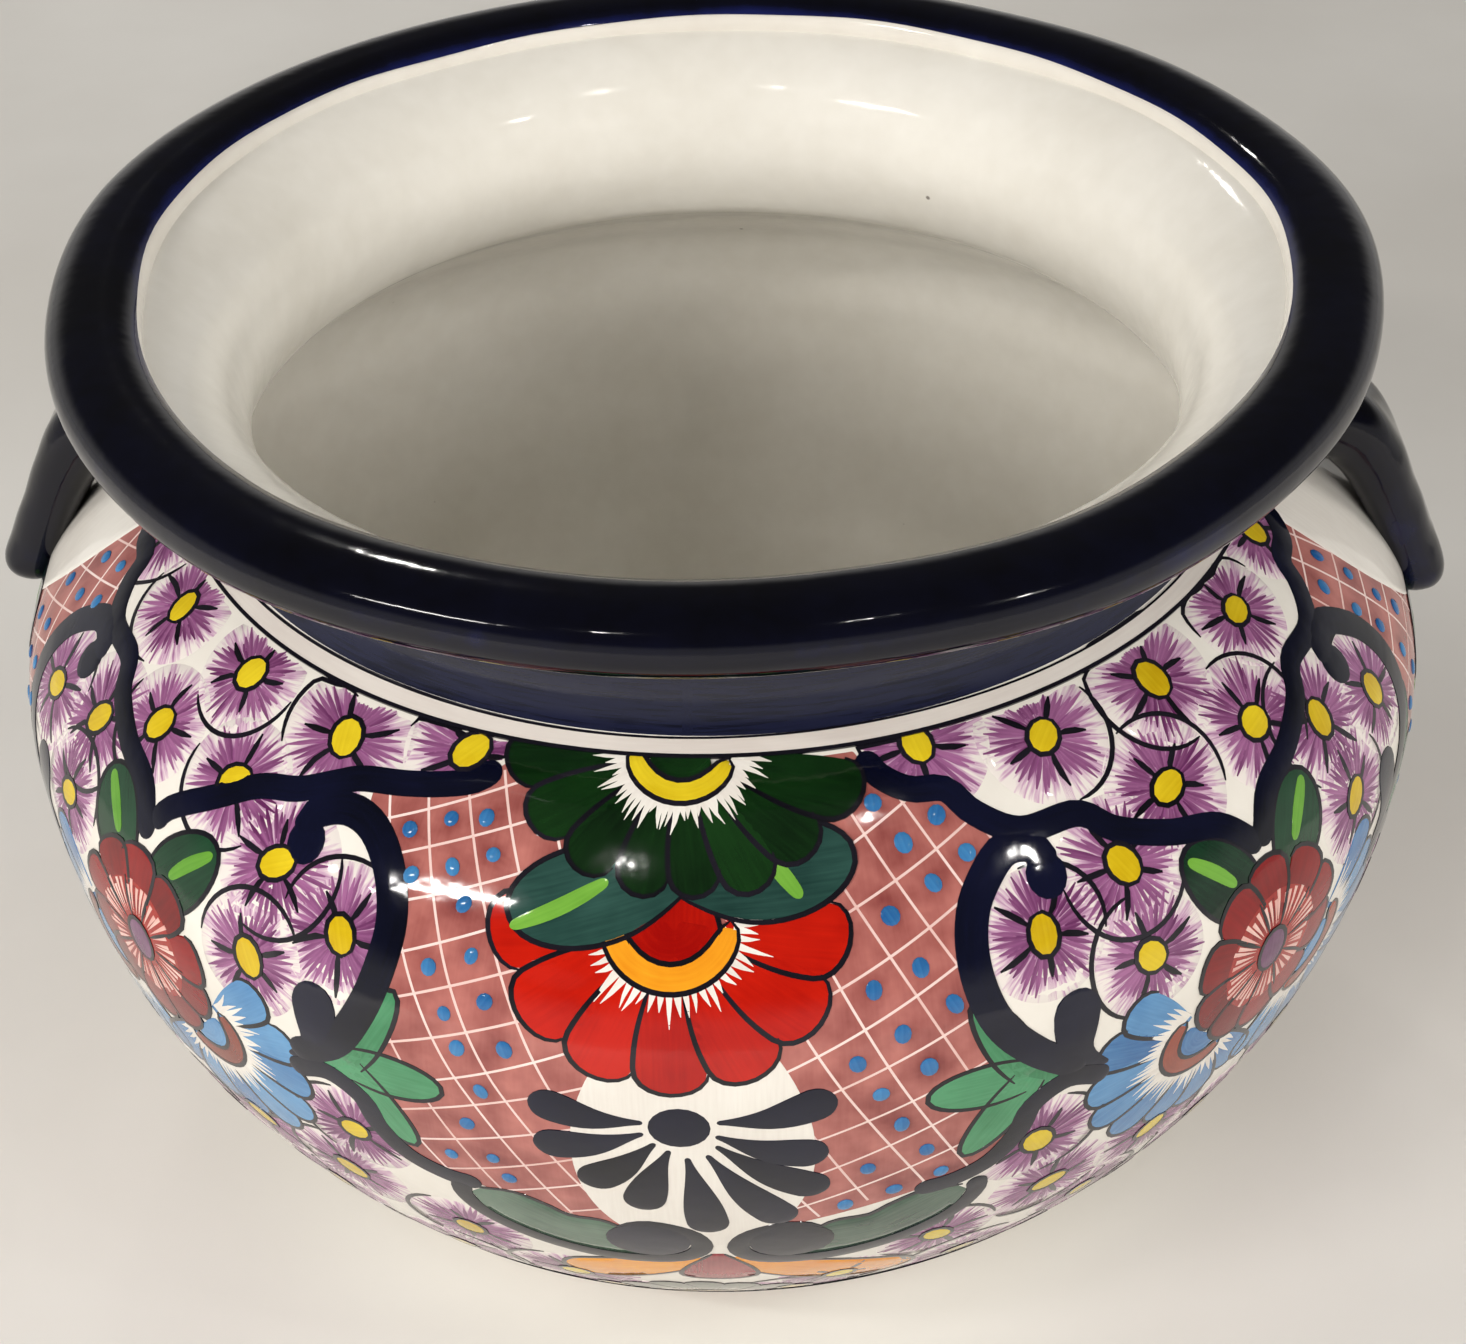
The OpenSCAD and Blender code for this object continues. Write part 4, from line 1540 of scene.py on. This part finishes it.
def pale_table():
    """Pale, nearly matt table top that stays pale far from the lamps."""
    made, tree, shader = blank("pale_table")
    tree.links.new(shader.inputs["Base Color"], ramp(
        tree, noise(tree, 3.0, 5.0), (0.35, tone(222, 219, 213)), (0.65, tone(234, 232, 227))))
    gloss(tree, shader, 0.55, 0.7)
    ground = add(tree, "ShaderNodeTexCoord").outputs["Object"]
    away = add(tree, "ShaderNodeVectorMath", [("Vector", ground)], operation="LENGTH").outputs["Value"]
    glow = add(tree, "ShaderNodeMath", operation="MULTIPLY")
    tree.links.new(glow.inputs[0], eased(tree, away, GLOW_FROM, GLOW_TO, 0.0, BACKDROP))
    tree.links.new(glow.inputs[1], seen_as_backdrop(tree))
    shader.inputs["Emission Color"].default_value = (*LAMP_WHITE, 1.0)
    tree.links.new(shader.inputs["Emission Strength"], glow.outputs[0])
    return made


table_mesh = bpy.data.meshes.new("table")
corners = [(-1, -1), (1, -1), (1, 1), (-1, 1)]
table_mesh.from_pydata([(x * TABLE_HALF, y * TABLE_HALF, 0) for x, y in corners], [], [(0, 1, 2, 3)])
table_mesh.materials.append(pale_table())
table = bpy.data.objects.new("table", table_mesh)
bpy.context.scene.collection.objects.link(table)
print("table", 2 * TABLE_HALF, "m wide")

# %% Sky
world = bpy.data.worlds.new("studio")
bpy.context.scene.world = world
world.use_nodes = True
sky = world.node_tree
soft_light = sky.nodes["Background"]
soft_light.inputs["Color"].default_value = (1.0, 0.98, 0.95, 1.0)
soft_light.inputs["Strength"].default_value = SOFT_WORLD
direction = add(sky, "ShaderNodeTexCoord").outputs["Generated"]
upward = add(sky, "ShaderNodeSeparateXYZ", [("Vector", direction)]).outputs["Z"]
paleness = eased(sky, upward, 0.1, 0.4, BACKDROP + 0.05, SOFT_WORLD)
backdrop = add(sky, "ShaderNodeBackground", [("Strength", paleness)], Color=(*LAMP_WHITE, 1.0))
shown = add(sky, "ShaderNodeMixShader", [("Fac", seen_as_backdrop(sky))])
sky.links.new(shown.inputs[1], soft_light.outputs[0])
sky.links.new(shown.inputs[2], backdrop.outputs[0])
sky.links.new(sky.nodes["World Output"].inputs["Surface"], shown.outputs[0])
print("sky gives", SOFT_WORLD, "of light")

# %% Lamps
POT_MIDDLE = Vector((0, 0, 0.14))


def lamp(name, place, width, height, watts, gleams, roll=0.0):
    """A panel aimed at the pot: one that gleams shows in the glaze."""
    data = bpy.data.lights.new(name, "AREA")
    data.shape = "ELLIPSE"
    data.size, data.size_y = width, height
    data.energy = watts
    data.color = LAMP_WHITE
    made = bpy.data.objects.new(name, data)
    made.location = place
    made.rotation_euler = (POT_MIDDLE - Vector(place)).to_track_quat("-Z", "Y").to_euler()
    made.rotation_euler.rotate_axis("Z", math.radians(roll))
    made.visible_glossy = gleams
    made.visible_camera = False
    bpy.context.scene.collection.objects.link(made)


lamp("key", (-0.95, -1.25, 0.95), 1.2, 0.35, 18, False)
lamp("right_fill", (0.95, -1.2, 0.9), 1.2, 0.35, 11, False)
lamp("side_left", (-1.5, 0.1, 0.72), 0.8, 0.3, 6.5, False)
lamp("side_right", (1.5, 0.1, 0.72), 0.8, 0.3, 7.5, False)
lamp("back_fill", (-0.3, 1.5, 1.0), 0.7, 0.5, 4.5, False)
lamp("strip_left", (-1.0, -1.0, 1.4), 0.55, 0.06, 5, True, roll=24.0)
lamp("sparkle_left", (-0.35, -0.95, 1.7), 0.05, 0.03, 0.7, True)
lamp("sparkle_right", (0.55, -0.7, 1.8), 0.03, 0.05, 0.7, True)
lamp("sparkle_far_right", (1.15, -0.8, 1.4), 0.05, 0.10, 1.2, True)
lamp("sparkle_back", (-0.4, 1.4, 1.4), 0.10, 0.05, 1.2, True)
print("lamps:", len(bpy.data.lights))
